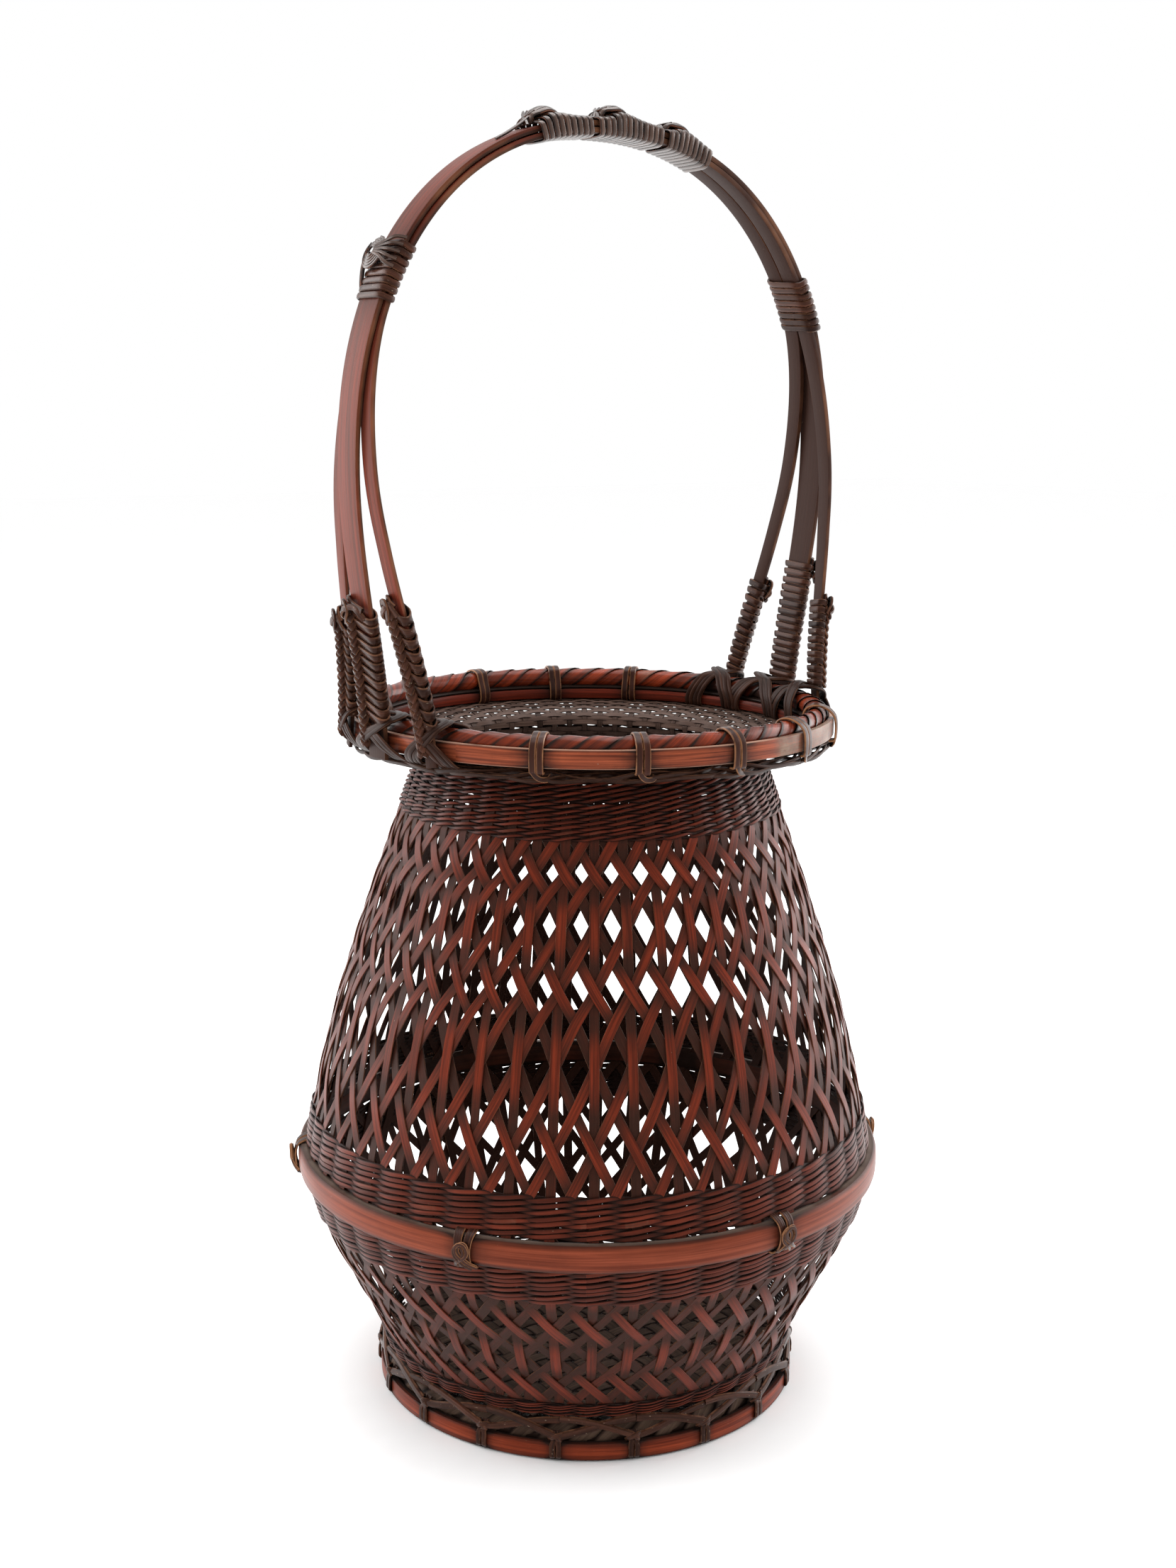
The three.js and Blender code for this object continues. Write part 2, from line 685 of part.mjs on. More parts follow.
const lashingBottom = rimTop + lashingLift;
const lashingTop = (strip, side) => lashingBottom + lashingHeights[side < 0 ? 'left' : 'right'][strip + 1];
function legLashing(name, strip, side) {
  const narrow = strip !== 0;
  const width = (z) => (narrow ? sideFootWidth + (sideStripWidth - sideFootWidth) * (1 - fan(z))
    : centreFootWidth + (centreStripWidth - centreFootWidth) * (1 - fan(z)));
  const top = lashingTop(strip, side);
  const frameAt = (z) => stripFrame(z, strip, side);
  const turns = narrow ? sideLashingTurns : centreLashingTurns;
  const half = [width(top) / 2, stripThickness / 2];
  return wound(name, frameAt, [lashingBottom, top], turns, half, lashingStrandWidth);
}

// The braided edge of each lashing, on the outer corner of its leg
function legChain(strip, side) {
  const halfWidth = (strip === 0 ? centreFootWidth : sideFootWidth) / 2 + clearance;
  const out = stripThickness / 2 + clearance * 2 + strandThickness + chainRadius + slack;
  const top = lashingTop(strip, side) - chainRadius;
  const stations = steps(8, lashingBottom, top).map((z) => stripFrame(z, strip, side));
  const points = stations.map(({ point, across, outward }) => {
    const aside = -side * (halfWidth - chainRadius);
    return point.clone().addScaledVector(outward, out).addScaledVector(across, aside);
  });
  const up = stations.map(({ outward }) => outward);
  return skin(cordRings(points, points.map(() => chainRadius), 5, up));
}

// Two strands cross over the foot of each leg and over the roll, and go under the hoop
function footCross(strip, side) {
  const degreesAt = (z) => {
    const { point } = stripFrame(Math.min(z, rimTop + rollRadius), strip, side);
    return (Math.atan2(point.y, point.x) * 180) / Math.PI;
  };
  const gap = clearance + tieThickness / 2;
  const footWidth = strip === 0 ? centreFootWidth : sideFootWidth;
  const beside = footWidth / 2 + clearance + tieThickness + crossSpread;
  const faceAt = (z) => {
    const foot = stripFrame(z, strip, side).point;
    return Math.hypot(foot.x, foot.y) + stripThickness / 2 + gap;
  };
  const under = rimHoopBottom - gap;
  const low = under + crossWidth;
  const middle = (under + rimTop + crossWidth / 2) / 2;
  const high = rimTop + clearance;
  const reach = rollRadius + gap + 2 * slack;
  const inside = innerHoopFlat - gap;
  const overRoll = reach * Math.cos(radians(45));
  const closer = 0.9;
  const cross = (sign) => {
    const path = [
      [-beside, uprightOuter + tieThickness + clearance, under], [-beside, rimRadius + 2 * clearance, under],
      [-beside * closer, faceAt(low) + clearance, low], [0, faceAt(middle) + crossRise, middle],
      [beside * closer, faceAt(high) + clearance, high],
      [beside, rollCentreRadius + overRoll, rollCentreHeight + overRoll],
      [beside, rollCentreRadius, rollCentreHeight + reach],
      [beside, rollCentreRadius - overRoll, rollCentreHeight + overRoll],
      [beside, inside, innerHoopTop + gap], [beside, inside, innerHoopBottom + clearance],
    ];
    const turn = ([t, r, z]) => degreesAt(z) + (sign * t * 180) / (r * Math.PI);
    const points = path.map((station) => around(station[1], turn(station), station[2]));
    const across = path.map((station) => around(1, turn(station) + 90, 0));
    return skin(stripRings(points, across, points.map(() => crossWidth), tieThickness));
  };
  return joined([cross(1), cross(-1)]);
}

// Bindings round all three strips, at the crown and at the shoulders: the two side strips lie side by side
const bundleHalfWidth = Math.max(centreStripWidth / 2, sideOffset + sideStripWidth / 2);
const bundleHalf = [bundleHalfWidth, (stackStep + stripThickness) / 2];
const middleOfBundle = (frame) => {
  return { ...frame, point: frame.point.clone().addScaledVector(frame.outward, -stackStep / 2) };
};

function crownFrame(x) {
  const zAt = (u) => {
    const reach = Math.min(Math.abs(u) / archHalfWidth, 1);
    return archSpring + archRise * (1 - reach ** archSquareness) ** (1 / archSquareness);
  };
  const nudge = 0.5;
  const along = vector(2 * nudge, 0, zAt(x + nudge) - zAt(x - nudge)).normalize();
  const across = vector(0, 1, 0);
  const outward = along.clone().cross(across).normalize();
  return { point: vector(x, -crownForward, zAt(x)), along, across, outward };
}

// Places along the crown are given as shares of the arch's half width
function crownBinding(name, [from, to, turns]) {
  const reach = [from * archHalfWidth, to * archHalfWidth];
  return wound(name, (x) => middleOfBundle(crownFrame(x)), reach, turns, bundleHalf, crownStrandWidth);
}

function shoulderBinding(name, side, top) {
  const frameAt = (z) => middleOfBundle(stripFrame(z, 0, side));
  const reach = [top - shoulderBindingHeight, top];
  return wound(name, frameAt, reach, shoulderTurns, bundleHalf, shoulderStrandWidth);
}

// A thin cord along the crown, with its three knots
function crownCord() {
  const bindingTop = stripThickness / 2 + clearance * 2 + strandThickness;
  const lift = bindingTop + crownCordRadius + slack;
  const first = crownGroups.left[0] * archHalfWidth + crownStrandWidth;
  const last = crownGroups.right[1] * archHalfWidth - 2 * crownStrandWidth;
  const stations = steps(10, first, last).map(crownFrame);
  const points = stations.map(({ point, outward }) => point.clone().addScaledVector(outward, lift));
  const up = stations.map(({ outward }) => outward);
  const cord = skin(cordRings(points, points.map(() => crownCordRadius), 5, up));
  const knots = crownKnotPlaces.map((share) => {
    const { point, along, across, outward } = crownFrame(share * archHalfWidth);
    const centre = point.clone().addScaledVector(outward, bindingTop + crownKnotHeight / 2);
    return knot(centre, along, across, outward, [crownKnotLength, crownKnotWidth, crownKnotHeight], 1);
  });
  return joined([cord, ...knots]);
}

// The assembly, from the floor up
place('foot_hoop', footHoop(), redBamboo());
const footRollMiddle = footRollLift + footRollHeight / 2;
const footRoll = ovalRing(footRollRadius, footRollMiddle, footRollWidth / 2, footRollHeight / 2, rollSides);
place('foot_roll', footRoll, smokedBamboo());
place('foot_lacing', footLacing(), rattan());
place('base_mat', baseMat(), smokedBamboo());

const bowlSeat = [lowerBandBottom - slack, beltHeight];
place('bowl_weave', woven(bowlBottom, beltHeight - clearance / 2, 6, bowlSeat), brownBamboo());
place('lower_twined_band', twinedBand(lowerBandBottom, beltBottom - clearance, 2), smokedBamboo());
place('belt_hoop', beltHoop(), redBamboo());
place('upper_twined_band', twinedBand(beltTop + clearance, upperBandTop, 2), smokedBamboo());
const bodyTop = neckBandBottom + slack - clearance;
const bodyWeave = openWoven(beltHeight + clearance / 2, bodyTop, upperBandTop + clearance);
place('body_weave', bodyWeave, brownBamboo());
place('neck_twined_band', twinedBand(neckBandBottom + slack, neckBandTop - clearance, 2), smokedBamboo());
place('neck_wall', neckWall(), smokedBamboo());
for (let i = 0; i < beltKnotCount; i += 1) {
  place(`belt_knot_${i + 1}`, beltKnot(beltKnotTurn + (360 / beltKnotCount) * i), rattan());
}

const outerHoop = rimHoop(rimRadius - rimHoopThickness, rimRadius, rimHoopBottom, rimTop);
place('rim_outer_hoop', outerHoop, redBamboo());
const innerHoop = rimHoop(innerHoopInner, innerHoopOuter, innerHoopBottom, innerHoopTop);
place('rim_inner_hoop', innerHoop, brownBamboo());
const rimRoll = ovalRing(rollCentreRadius, rollCentreHeight, rollRadius, rollRadius, rollSides);
place('rim_roll', rimRoll, brownBamboo());
place('rim_under_lacing', underLacing(), rattan());
for (let i = 0; i < rimTieCount; i += 1) {
  const degrees = rimTieTurn + (360 / rimTieCount) * i;
  const fromPlane = Math.abs(Math.sin(radians(degrees)));
  if (fromPlane > Math.sin(radians(legSpread * 2))) {
    place(`rim_tie_${i + 1}`, rimTie(degrees), rattan());
  }
}

const strips = { front: -1, centre: 0, back: 1 };
const sides = { left: -1, right: 1 };
for (const [name, strip] of Object.entries(strips)) {
  place(`handle_strip_${name}`, handleStrip(strip), brownBamboo());
}
for (const [sideName, side] of Object.entries(sides)) {
  for (const [stripName, strip] of Object.entries(strips)) {
    const leg = `${sideName}_${stripName}`;
    place(`leg_lashing_${leg}`, legLashing(`leg_lashing_${leg}`, strip, side), rattan());
    place(`leg_chain_${leg}`, legChain(strip, side), rattan());
    place(`foot_cross_${leg}`, footCross(strip, side), rattan());
  }
}

for (const [groupName, group] of Object.entries(crownGroups)) {
  const name = `crown_binding_${groupName}`;
  place(name, crownBinding(name, group), rattan());
}
place('crown_cord', crownCord(), rattan());
place('shoulder_binding_left', shoulderBinding('shoulder_binding_left', -1, leftShoulderTop), rattan());
place('shoulder_binding_right', shoulderBinding('shoulder_binding_right', 1, rightShoulderTop), rattan());

export default basket;
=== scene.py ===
import math
from functools import partial

import bpy
import numpy as np
from mathutils import Matrix, Vector


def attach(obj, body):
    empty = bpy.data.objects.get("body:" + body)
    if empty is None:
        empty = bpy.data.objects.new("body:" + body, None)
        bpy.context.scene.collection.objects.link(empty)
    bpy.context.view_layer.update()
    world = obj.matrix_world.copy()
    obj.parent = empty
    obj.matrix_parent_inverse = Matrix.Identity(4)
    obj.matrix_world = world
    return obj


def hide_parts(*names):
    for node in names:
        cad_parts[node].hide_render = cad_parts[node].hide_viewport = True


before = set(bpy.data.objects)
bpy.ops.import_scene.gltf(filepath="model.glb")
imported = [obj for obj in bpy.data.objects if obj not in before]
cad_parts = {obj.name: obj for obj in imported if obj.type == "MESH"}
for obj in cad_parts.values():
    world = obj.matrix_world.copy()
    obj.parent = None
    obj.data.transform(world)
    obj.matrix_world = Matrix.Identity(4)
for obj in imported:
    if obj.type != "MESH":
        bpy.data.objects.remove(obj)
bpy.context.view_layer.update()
print("frame loaded with", len(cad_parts), "nodes")


# Sizes are a dictionary whose keys also read as attributes
class Sizes(dict):
    __getattr__ = dict.__getitem__


mm = 0.001
up = np.array([0, 0, 1.0])
rng = np.random.default_rng(7)


def newObject(name, data):
    made = bpy.data.objects.new(name, data)
    bpy.context.scene.collection.objects.link(made)
    return made


# Camera at the photograph's viewing angle, with lengths in mm and angles in degrees
camera = Sizes(distance=700, height=356, azimuth=36, pitch=11, roll=0.45, lens=45.85, shift=-0.0014)


def placeCamera():
    turn, pitch, roll = [math.radians(camera[label]) for label in ("azimuth", "pitch", "roll")]
    flat = Vector((math.sin(turn), math.cos(turn), 0))
    forward = flat * math.cos(pitch) - Vector((0, 0, math.sin(pitch)))
    right = flat.cross(Vector((0, 0, 1)))
    place = -flat * camera.distance * mm + Vector((0, 0, camera.height * mm))
    data = bpy.data.cameras.new("photoCamera")
    data.lens = camera.lens
    data.shift_x = camera.shift
    eye = newObject("photoCamera", data)
    axes = Matrix((right, right.cross(forward), -forward)).transposed().to_4x4()
    eye.matrix_world = Matrix.Translation(place) @ axes @ Matrix.Rotation(roll, 4, "Z")
    bpy.context.scene.camera = eye


placeCamera()
print("camera placed")


# One helper adds a node to any tree, with its settings and its links or values, and gives its outputs
def addNode(tree, kind, inputs=None, **settings):
    node = tree.nodes.new(kind)
    for key, value in settings.items():
        setattr(node, key, value)
    for key, value in (inputs or {}).items():
        if isinstance(value, bpy.types.NodeSocket):
            tree.links.new(value, node.inputs[key])
        else:
            node.inputs[key].default_value = value
    return node.outputs


def addMaths(tree, operation, a, b=0.0, clamp=False):
    return addNode(tree, "ShaderNodeMath", {0: a, 1: b}, operation=operation, use_clamp=clamp)[0]


# An sRGB hex value as linear colour
def paint(code):
    channels = [int(code[i:i + 2], 16) / 255 for i in (1, 3, 5)]
    return [c / 12.92 if c <= 0.04045 else ((c + 0.055) / 1.055) ** 2.4 for c in channels] + [1.0]


# Noise drawn out along a strip, for its fibres, streaks, clouds and specks: its stretch and its detail
noise = ((0.035, 3.0), (0.02, 2.0), (1.0, 3.0), (0.35, 1.0))
speckSize = 0.5


# Every strip carries along, across, tone (-1 bare, 0 red, 1 smoked, and it also carries painted shade),
# rise (1 outside, -1 inside) and strand
def bambooMaterial(name, look):
    material = bpy.data.materials.new(name)
    material.use_nodes = True
    tree = material.node_tree
    tree.nodes.clear()
    node, maths = partial(addNode, tree), partial(addMaths, tree)

    def ramp(value, low, high, start=0.0, end=1.0):
        inputs = {"Value": value, "From Min": low, "From Max": high, "To Min": start, "To Max": end}
        return node("ShaderNodeMapRange", inputs)[0]

    def mix(share, first, second):
        return node("ShaderNodeMix", {0: share, 6: first, 7: second}, data_type="RGBA")[2]

    labels = ("along", "across", "tone", "rise", "strand")
    given = [node("ShaderNodeAttribute", attribute_name=label)["Fac"] for label in labels]
    along, across, tone, rise, strand = given
    halfWidth, *sizes = look["sizes"]
    sideways = maths("MULTIPLY", across, halfWidth)
    other = maths("MULTIPLY", strand, 53.0)

    def grained(size, stretch, detail):
        spot = node("ShaderNodeCombineXYZ", {0: maths("MULTIPLY", along, stretch), 1: sideways, 2: other})[0]
        inputs = {"Vector": spot, "Scale": 1 / size, "Detail": detail, "Roughness": 0.6}
        return node("ShaderNodeTexNoise", inputs)["Fac"]

    fibres, streaks, clouds, specks = [grained(size, *kind) for size, kind in zip([*sizes, speckSize], noise)]
    bright, deep, smokedAndShaded = [paint(code) for code in look["colours"]]
    lit = mix(ramp(streaks, 0.34, 0.66), deep, bright)

    # how dark a place is: its tone (smoke and painted shade), painted shade on its turned-in side, its edges
    # (partly painted shade between strips) and a little cloud
    span = maths("ABSOLUTE", across)
    edgeFrom, edgeDark = look["edge"]
    edge = ramp(span, edgeFrom, 1.0, 0.0, edgeDark)
    inner = ramp(rise, 0.1, -0.3, 0.0, 0.85)
    cloudy = maths("MULTIPLY", maths("SUBTRACT", clouds, 0.5), look["cloudiness"])
    dark = maths("ADD", maths("ADD", tone, edge), maths("ADD", inner, cloudy), clamp=True)
    colour = mix(dark, lit, smokedAndShaded)

    # worn edges with painted edge highlights, bare places and pale specks
    wearHighlightFrom, wearHighlightShare, wearHighlightColour, *wearHighlightPatch = look["wearAndHighlight"]
    wearAndHighlight = maths("MULTIPLY", ramp(span, wearHighlightFrom, 1.0), ramp(clouds, *wearHighlightPatch))
    colour = mix(maths("MULTIPLY", wearAndHighlight, wearHighlightShare), colour, paint(wearHighlightColour))
    bare = maths("MULTIPLY", ramp(tone, -0.1, -0.6), ramp(specks, 0.3, 0.6, 0.5, 1.0))
    colour = mix(bare, colour, mix(ramp(clouds, 0.4, 0.6), *[paint(code) for code in look["bareColours"]]))
    speckFrom = look["speckFrom"]
    colour = mix(ramp(specks, speckFrom, speckFrom + 0.05, 0.0, 0.55), colour, paint(look["speckColour"]))
    grain = ramp(fibres, 0.3, 0.7, 1 - look["grain"], 1 + look["grain"])
    colour = node("ShaderNodeVectorMath", {0: colour, 3: grain}, operation="SCALE")[0]

    rough = ramp(maths("ADD", fibres, dark), 0.3, 1.6, *look["rough"])
    height = maths("ADD", maths("MULTIPLY", fibres, 0.7), maths("MULTIPLY", streaks, 0.5))
    bump = node("ShaderNodeBump", {"Strength": look["bump"], "Distance": 0.2 * mm, "Height": height})[0]
    surface = {"Base Color": colour, "Roughness": rough, "Normal": bump, "IOR": look["gloss"],
               "Specular Tint": paint(look["sheen"]), "Coat Weight": look["coat"], "Coat Roughness": 0.2,
               "Coat IOR": 1.3}
    node("ShaderNodeOutputMaterial", {"Surface": node("ShaderNodeBsdfPrincipled", surface)[0]})
    return material


# Colours: in the light, in the streaks, and for smoke and painted shade. Sizes in mm: half width, fibres,
# streaks, clouds. Edge: where across the width it darkens, partly as painted shade between strips, how
# much. Wear and highlight: where, how much, its colour, the range of clouds that shows it; it paints worn
# edges and painted edge highlights
bambooBase = {
    "colours": ("#6c2817", "#451a10", "#2a1812"), "sizes": (1.7, 0.32, 0.9, 7.0), "cloudiness": 0.5,
    "edge": (0.75, 0.3), "grain": 0.2, "rough": (0.36, 0.55), "bump": 0.35, "coat": 0.05, "gloss": 1.34,
    "sheen": "#a87c70", "wearAndHighlight": (0.8, 0.0, "#7d5238", 0.42, 0.6), "bareColours": ("#5c3f30", "#75604f"),
    "speckFrom": 0.8, "speckColour": "#9c8a76",
}
looks = {
    # split bamboo, smoked and lacquered red-brown, with worn pale edges and painted edge highlights
    "weaveBamboo": {"wearAndHighlight": (0.86, 0.35, "#7d5238", 0.42, 0.6)},
    # fine split strands of the twined bands
    "twiningBamboo": {"colours": ("#62281a", "#38160e", "#150c09"), "sizes": (0.6, 0.32, 0.9, 5.0),
                      "edge": (0.5, 1.0)},
    # bamboo rind of the rim's hoop, orange-red under clear lacquer, with dark streaks and pale worn edges
    # and patches that are partly painted highlights
    "hoopBamboo": {"colours": ("#94492f", "#522417", "#1d120e"), "sizes": (3.2, 0.5, 0.9, 10.0),
                   "cloudiness": 1.1, "edge": (0.6, 0.6), "grain": 0.18, "coat": 0.2,
                   "wearAndHighlight": (0.88, 0.95, "#a8826f", 0.2, 0.45)},
    # the belt: browner, with grey worn edges that are partly painted edge highlights
    "beltBamboo": {"colours": ("#7f3d29", "#5c2718", "#1c120e"), "sizes": (5.0, 0.5, 1.6, 16.0),
                   "cloudiness": 0.6, "edge": (0.62, 1.0), "grain": 0.16,
                   "wearAndHighlight": (0.93, 0.8, "#6a5a50", 0.25, 0.5)},
    # the foot hoop: dark red, darker along its edges
    "footHoopBamboo": {"colours": ("#84371f", "#551f11", "#170e0b"), "sizes": (3.1, 0.5, 1.1, 12.0),
                       "cloudiness": 0.6, "edge": (0.55, 0.8)},
    # the inner hoop, dark red with black streaks
    "innerHoopBamboo": {"colours": ("#6a2618", "#33150f", "#150d0b"), "sizes": (1.8, 0.5, 1.2, 7.0)},
    # glossy strips round the rim's roll, darker at their edges, partly as painted shade between the wraps
    "rollBamboo": {"colours": ("#8a3419", "#551f11", "#1a110d"), "sizes": (2.8, 0.32, 1.2, 7.0),
                   "edge": (0.6, 0.8), "rough": (0.25, 0.4), "coat": 0.4},
    # dull wide strips round the foot's roll
    "footBamboo": {"colours": ("#5c4a3e", "#45362d", "#0f0a08"), "sizes": (3.2, 0.32, 1.5, 7.0),
                   "edge": (0.6, 1.0), "rough": (0.5, 0.7), "coat": 0.0},
    # the handle's wide strips: fine straight grain, satin
    "handleBamboo": {"colours": ("#743122", "#50251a", "#2a1913"), "sizes": (6.0, 0.4, 1.4, 30.0),
                     "cloudiness": 0.3, "edge": (0.85, 0.3), "rough": (0.4, 0.55), "coat": 0.0,
                     "wearAndHighlight": (0.9, 0.5, "#7d5238", 0.42, 0.6)},
    # split rattan, smoked near black, glossy, with tan worn edges that are partly painted edge highlights
    "boundRattan": {"colours": ("#4d2e22", "#2a1912", "#100a08"), "sizes": (1.1, 0.4, 0.9, 5.0),
                    "cloudiness": 1.2, "edge": (0.8, 0.1), "rough": (0.22, 0.4), "coat": 0.15,
                    "wearAndHighlight": (0.7, 0.6, "#865c44", 0.42, 0.6), "speckFrom": 0.72},
    # the strands crossed over the rim and laced under it, duller and darker
    "crossRattan": {"colours": ("#46291c", "#24140d", "#0e0907"), "sizes": (1.0, 0.4, 0.9, 5.0),
                    "cloudiness": 1.0, "edge": (0.9, 0.0), "rough": (0.32, 0.5), "coat": 0.0,
                    "wearAndHighlight": (0.8, 0.4, "#7a543e", 0.42, 0.6)},
    # the crown's rattan, worn browner and glossier by the hand, with painted shade at the edges of its turns,
    # dark between them, and worn edges that are partly painted highlights
    "crownRattan": {"colours": ("#584339", "#3a2a23", "#120b09"), "sizes": (1.1, 0.4, 0.9, 6.0),
                    "edge": (0.4, 1.1), "rough": (0.18, 0.32), "coat": 0.6, "gloss": 1.42,
                    "sheen": "#c4aaa0", "wearAndHighlight": (0.8, 0.7, "#8a5238", 0.42, 0.6)},
    # redder rattan of the ties and knots, with light tan edges
    "tieRattan": {"colours": ("#3c1e15", "#27140e", "#120b08"), "sizes": (1.1, 0.4, 0.9, 6.0),
                  "edge": (0.9, 0.0), "rough": (0.26, 0.42), "coat": 0.3,
                  "wearAndHighlight": (0.62, 0.9, "#a0704e", 0.32, 0.5)},
    # the base mat: dull wide strips, painted black at their edges as shade in the slots between them
    "matBamboo": {"colours": ("#4e3d33", "#33271f", "#0f0a08"), "sizes": (2.7, 0.5, 0.9, 7.0),
                  "grain": 0.3, "edge": (0.66, 1.3), "rough": (0.55, 0.75), "coat": 0.0},
    # dull smoked strips inside the neck and the rolls
    "liningBamboo": {"colours": ("#624e45", "#45352d", "#1a120e"), "sizes": (2.5, 0.32, 0.9, 7.0),
                     "edge": (0.75, 0.8), "rough": (0.4, 0.6), "coat": 0.1},
}
materials = {name: bambooMaterial(name, {**bambooBase, **changes}) for name, changes in looks.items()}
print("materials made")


# A tree that sweeps a strip's section along every path of a piece, facing as the path says
strandInputs = {"Width": "Float", "Thickness": "Float", "Squareness": "Float", "Bow": "Float", "Sides": "Int",
                "Material": "Material"}
sharpFrom = 0.6


def strandTree():
    tree = bpy.data.node_groups.new("sweepStrands", "GeometryNodeTree")
    node, maths = partial(addNode, tree), partial(addMaths, tree)

    def socket(label, kind, way="INPUT"):
        return tree.interface.new_socket(label, in_out=way, socket_type="NodeSocket" + kind).identifier

    def named(label, kind):
        return node("GeometryNodeInputNamedAttribute", {"Name": label}, data_type=kind)[0]

    def smoothed(geometry, value, domain):
        inputs = {"Geometry": geometry, "Shade Smooth": value}
        return node("GeometryNodeSetShadeSmooth", inputs, domain=domain)[0]

    socket("Geometry", "Geometry")
    sockets = {label: socket(label, kind) for label, kind in strandInputs.items()}
    socket("Geometry", "Geometry", "OUTPUT")
    given = node("NodeGroupInput")
    rails = node("GeometryNodeMeshToCurve", {"Mesh": given["Geometry"]})[0]
    turned = {"Curve": rails, "Normal": named("facing", "FLOAT_VECTOR")}
    rails = node("GeometryNodeSetCurveNormal", turned, mode="FREE")[0]
    ring = node("GeometryNodeCurvePrimitiveCircle", {"Resolution": given["Sides"], "Radius": 1.0})[0]
    spot = node("ShaderNodeSeparateXYZ", {0: node("GeometryNodeInputPosition")[0]})

    # the round section is squared off, so that 0 gives a box and 1 an ellipse
    def squared(value):
        power = maths("POWER", maths("ABSOLUTE", value), given["Squareness"])
        return maths("MULTIPLY", maths("SIGN", value), power)

    rise, across = squared(spot[0]), squared(spot[1])
    for label, value in (("across", across), ("rise", rise)):
        ring = node("GeometryNodeStoreNamedAttribute", {"Geometry": ring, "Name": label, "Value": value})[0]
    bowed = maths("MULTIPLY", maths("MULTIPLY", across, across), given["Bow"])
    x = maths("SUBTRACT", maths("MULTIPLY", rise, maths("MULTIPLY", given["Thickness"], 0.5)), bowed)
    y = maths("MULTIPLY", across, maths("MULTIPLY", given["Width"], 0.5))
    place = node("ShaderNodeCombineXYZ", {0: x, 1: y})[0]
    ring = node("GeometryNodeSetPosition", {"Geometry": ring, "Position": place})[0]
    pair = {"Curve": rails, "Profile Curve": ring, "Scale": named("girth", "FLOAT"), "Fill Caps": True}
    swept = node("GeometryNodeCurveToMesh", pair)[0]
    bend = {0: node("GeometryNodeInputMeshEdgeAngle")[0], 1: sharpFrom}
    gentle = node("FunctionNodeCompare", bend, data_type="FLOAT", operation="LESS_THAN")[0]
    smooth = smoothed(smoothed(swept, True, "FACE"), gentle, "EDGE")
    dressed = node("GeometryNodeSetMaterial", {"Geometry": smooth, "Material": given["Material"]})[0]
    node("NodeGroupOutput", {"Geometry": dressed})
    return tree, sockets


strands, strandSockets = strandTree()


def unit(v):
    return v / np.maximum(np.linalg.norm(v, axis=-1, keepdims=True), 1e-12)


# A direction made square to another one
def squareTo(v, axis):
    return unit(v - axis * (v * axis).sum(-1, keepdims=True))


def lengthAlong(line):
    return np.concatenate([[0], np.cumsum(np.linalg.norm(np.diff(line, axis=0), axis=1))])


# A path is its points and facing directions in mm, with tone, girth and its own number
def path(points, facing, tone=0.0, girth=1.0):
    n = len(points)
    tangent = unit(np.gradient(points, axis=0))
    facing = squareTo(np.broadcast_to(facing, points.shape), tangent)
    return {"points": points, "facing": facing, "along": lengthAlong(points),
            "tone": np.clip(np.broadcast_to(tone, n), -1, 1), "girth": np.broadcast_to(girth, n),
            "strand": np.full(n, rng.random())}


# Sweeps paths into one piece, a plain mesh. Its size is width and thickness in mm
def sweep(name, paths, size, material, squareness, sides=8, bow=0.0):
    paths = list(paths)

    def gathered(label, scale=1.0):
        return (np.concatenate([p[label] for p in paths]) * scale).astype(np.float32).ravel()

    ends = np.cumsum([len(p["points"]) for p in paths])
    first = np.delete(np.arange(ends[-1] - 1), ends[:-1] - 1)
    mesh = bpy.data.meshes.new(name)
    mesh.vertices.add(ends[-1])
    mesh.vertices.foreach_set("co", gathered("points", mm))
    mesh.edges.add(len(first))
    mesh.edges.foreach_set("vertices", np.stack([first, first + 1], 1).astype(np.int32).ravel())
    for label in ("along", "tone", "girth", "strand"):
        mesh.attributes.new(label, "FLOAT", "POINT").data.foreach_set("value", gathered(label))
    mesh.attributes.new("facing", "FLOAT_VECTOR", "POINT").data.foreach_set("vector", gathered("facing"))
    mesh.update()
    piece = newObject(name, mesh)
    modifier = piece.modifiers.new("strands", "NODES")
    modifier.node_group = strands
    values = {"Width": size[0] * mm, "Thickness": size[1] * mm, "Squareness": squareness, "Bow": bow * mm,
              "Sides": sides, "Material": materials[material]}
    for label, value in values.items():
        modifier[strandSockets[label]] = value
    graph = bpy.context.evaluated_depsgraph_get()
    evaluated = piece.evaluated_get(graph)
    mesh = bpy.data.meshes.new_from_object(evaluated, preserve_all_data_layers=True, depsgraph=graph)
    piece.modifiers.clear()
    piece.data = mesh
    for label in ("facing", "girth"):
        mesh.attributes.remove(mesh.attributes[label])
    return piece


# Joins pieces under the first one's name
def joinPieces(pieces):
    bpy.ops.object.select_all(action="DESELECT")
    for piece in pieces:
        piece.select_set(True)
    bpy.context.view_layer.objects.active = pieces[0]
    bpy.ops.object.join()
    return pieces[0]


def dress(piece, slot, *nodes):
    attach(piece, "root")
    if nodes:
        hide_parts(*nodes)
    print(piece.name, len(piece.data.polygons), "faces")


def make(name, slot, nodes, *strip):
    dress(sweep(name, *strip), slot, *nodes)


# Directions out from the axis at angles in radians
def radial(turn):
    return np.stack([np.cos(turn), np.sin(turn), 0 * turn], -1)


# Points or directions with a part outward and a part up
def polar(outward, out, high):
    return outward * np.reshape(out, (-1, 1)) + up * np.reshape(high, (-1, 1))


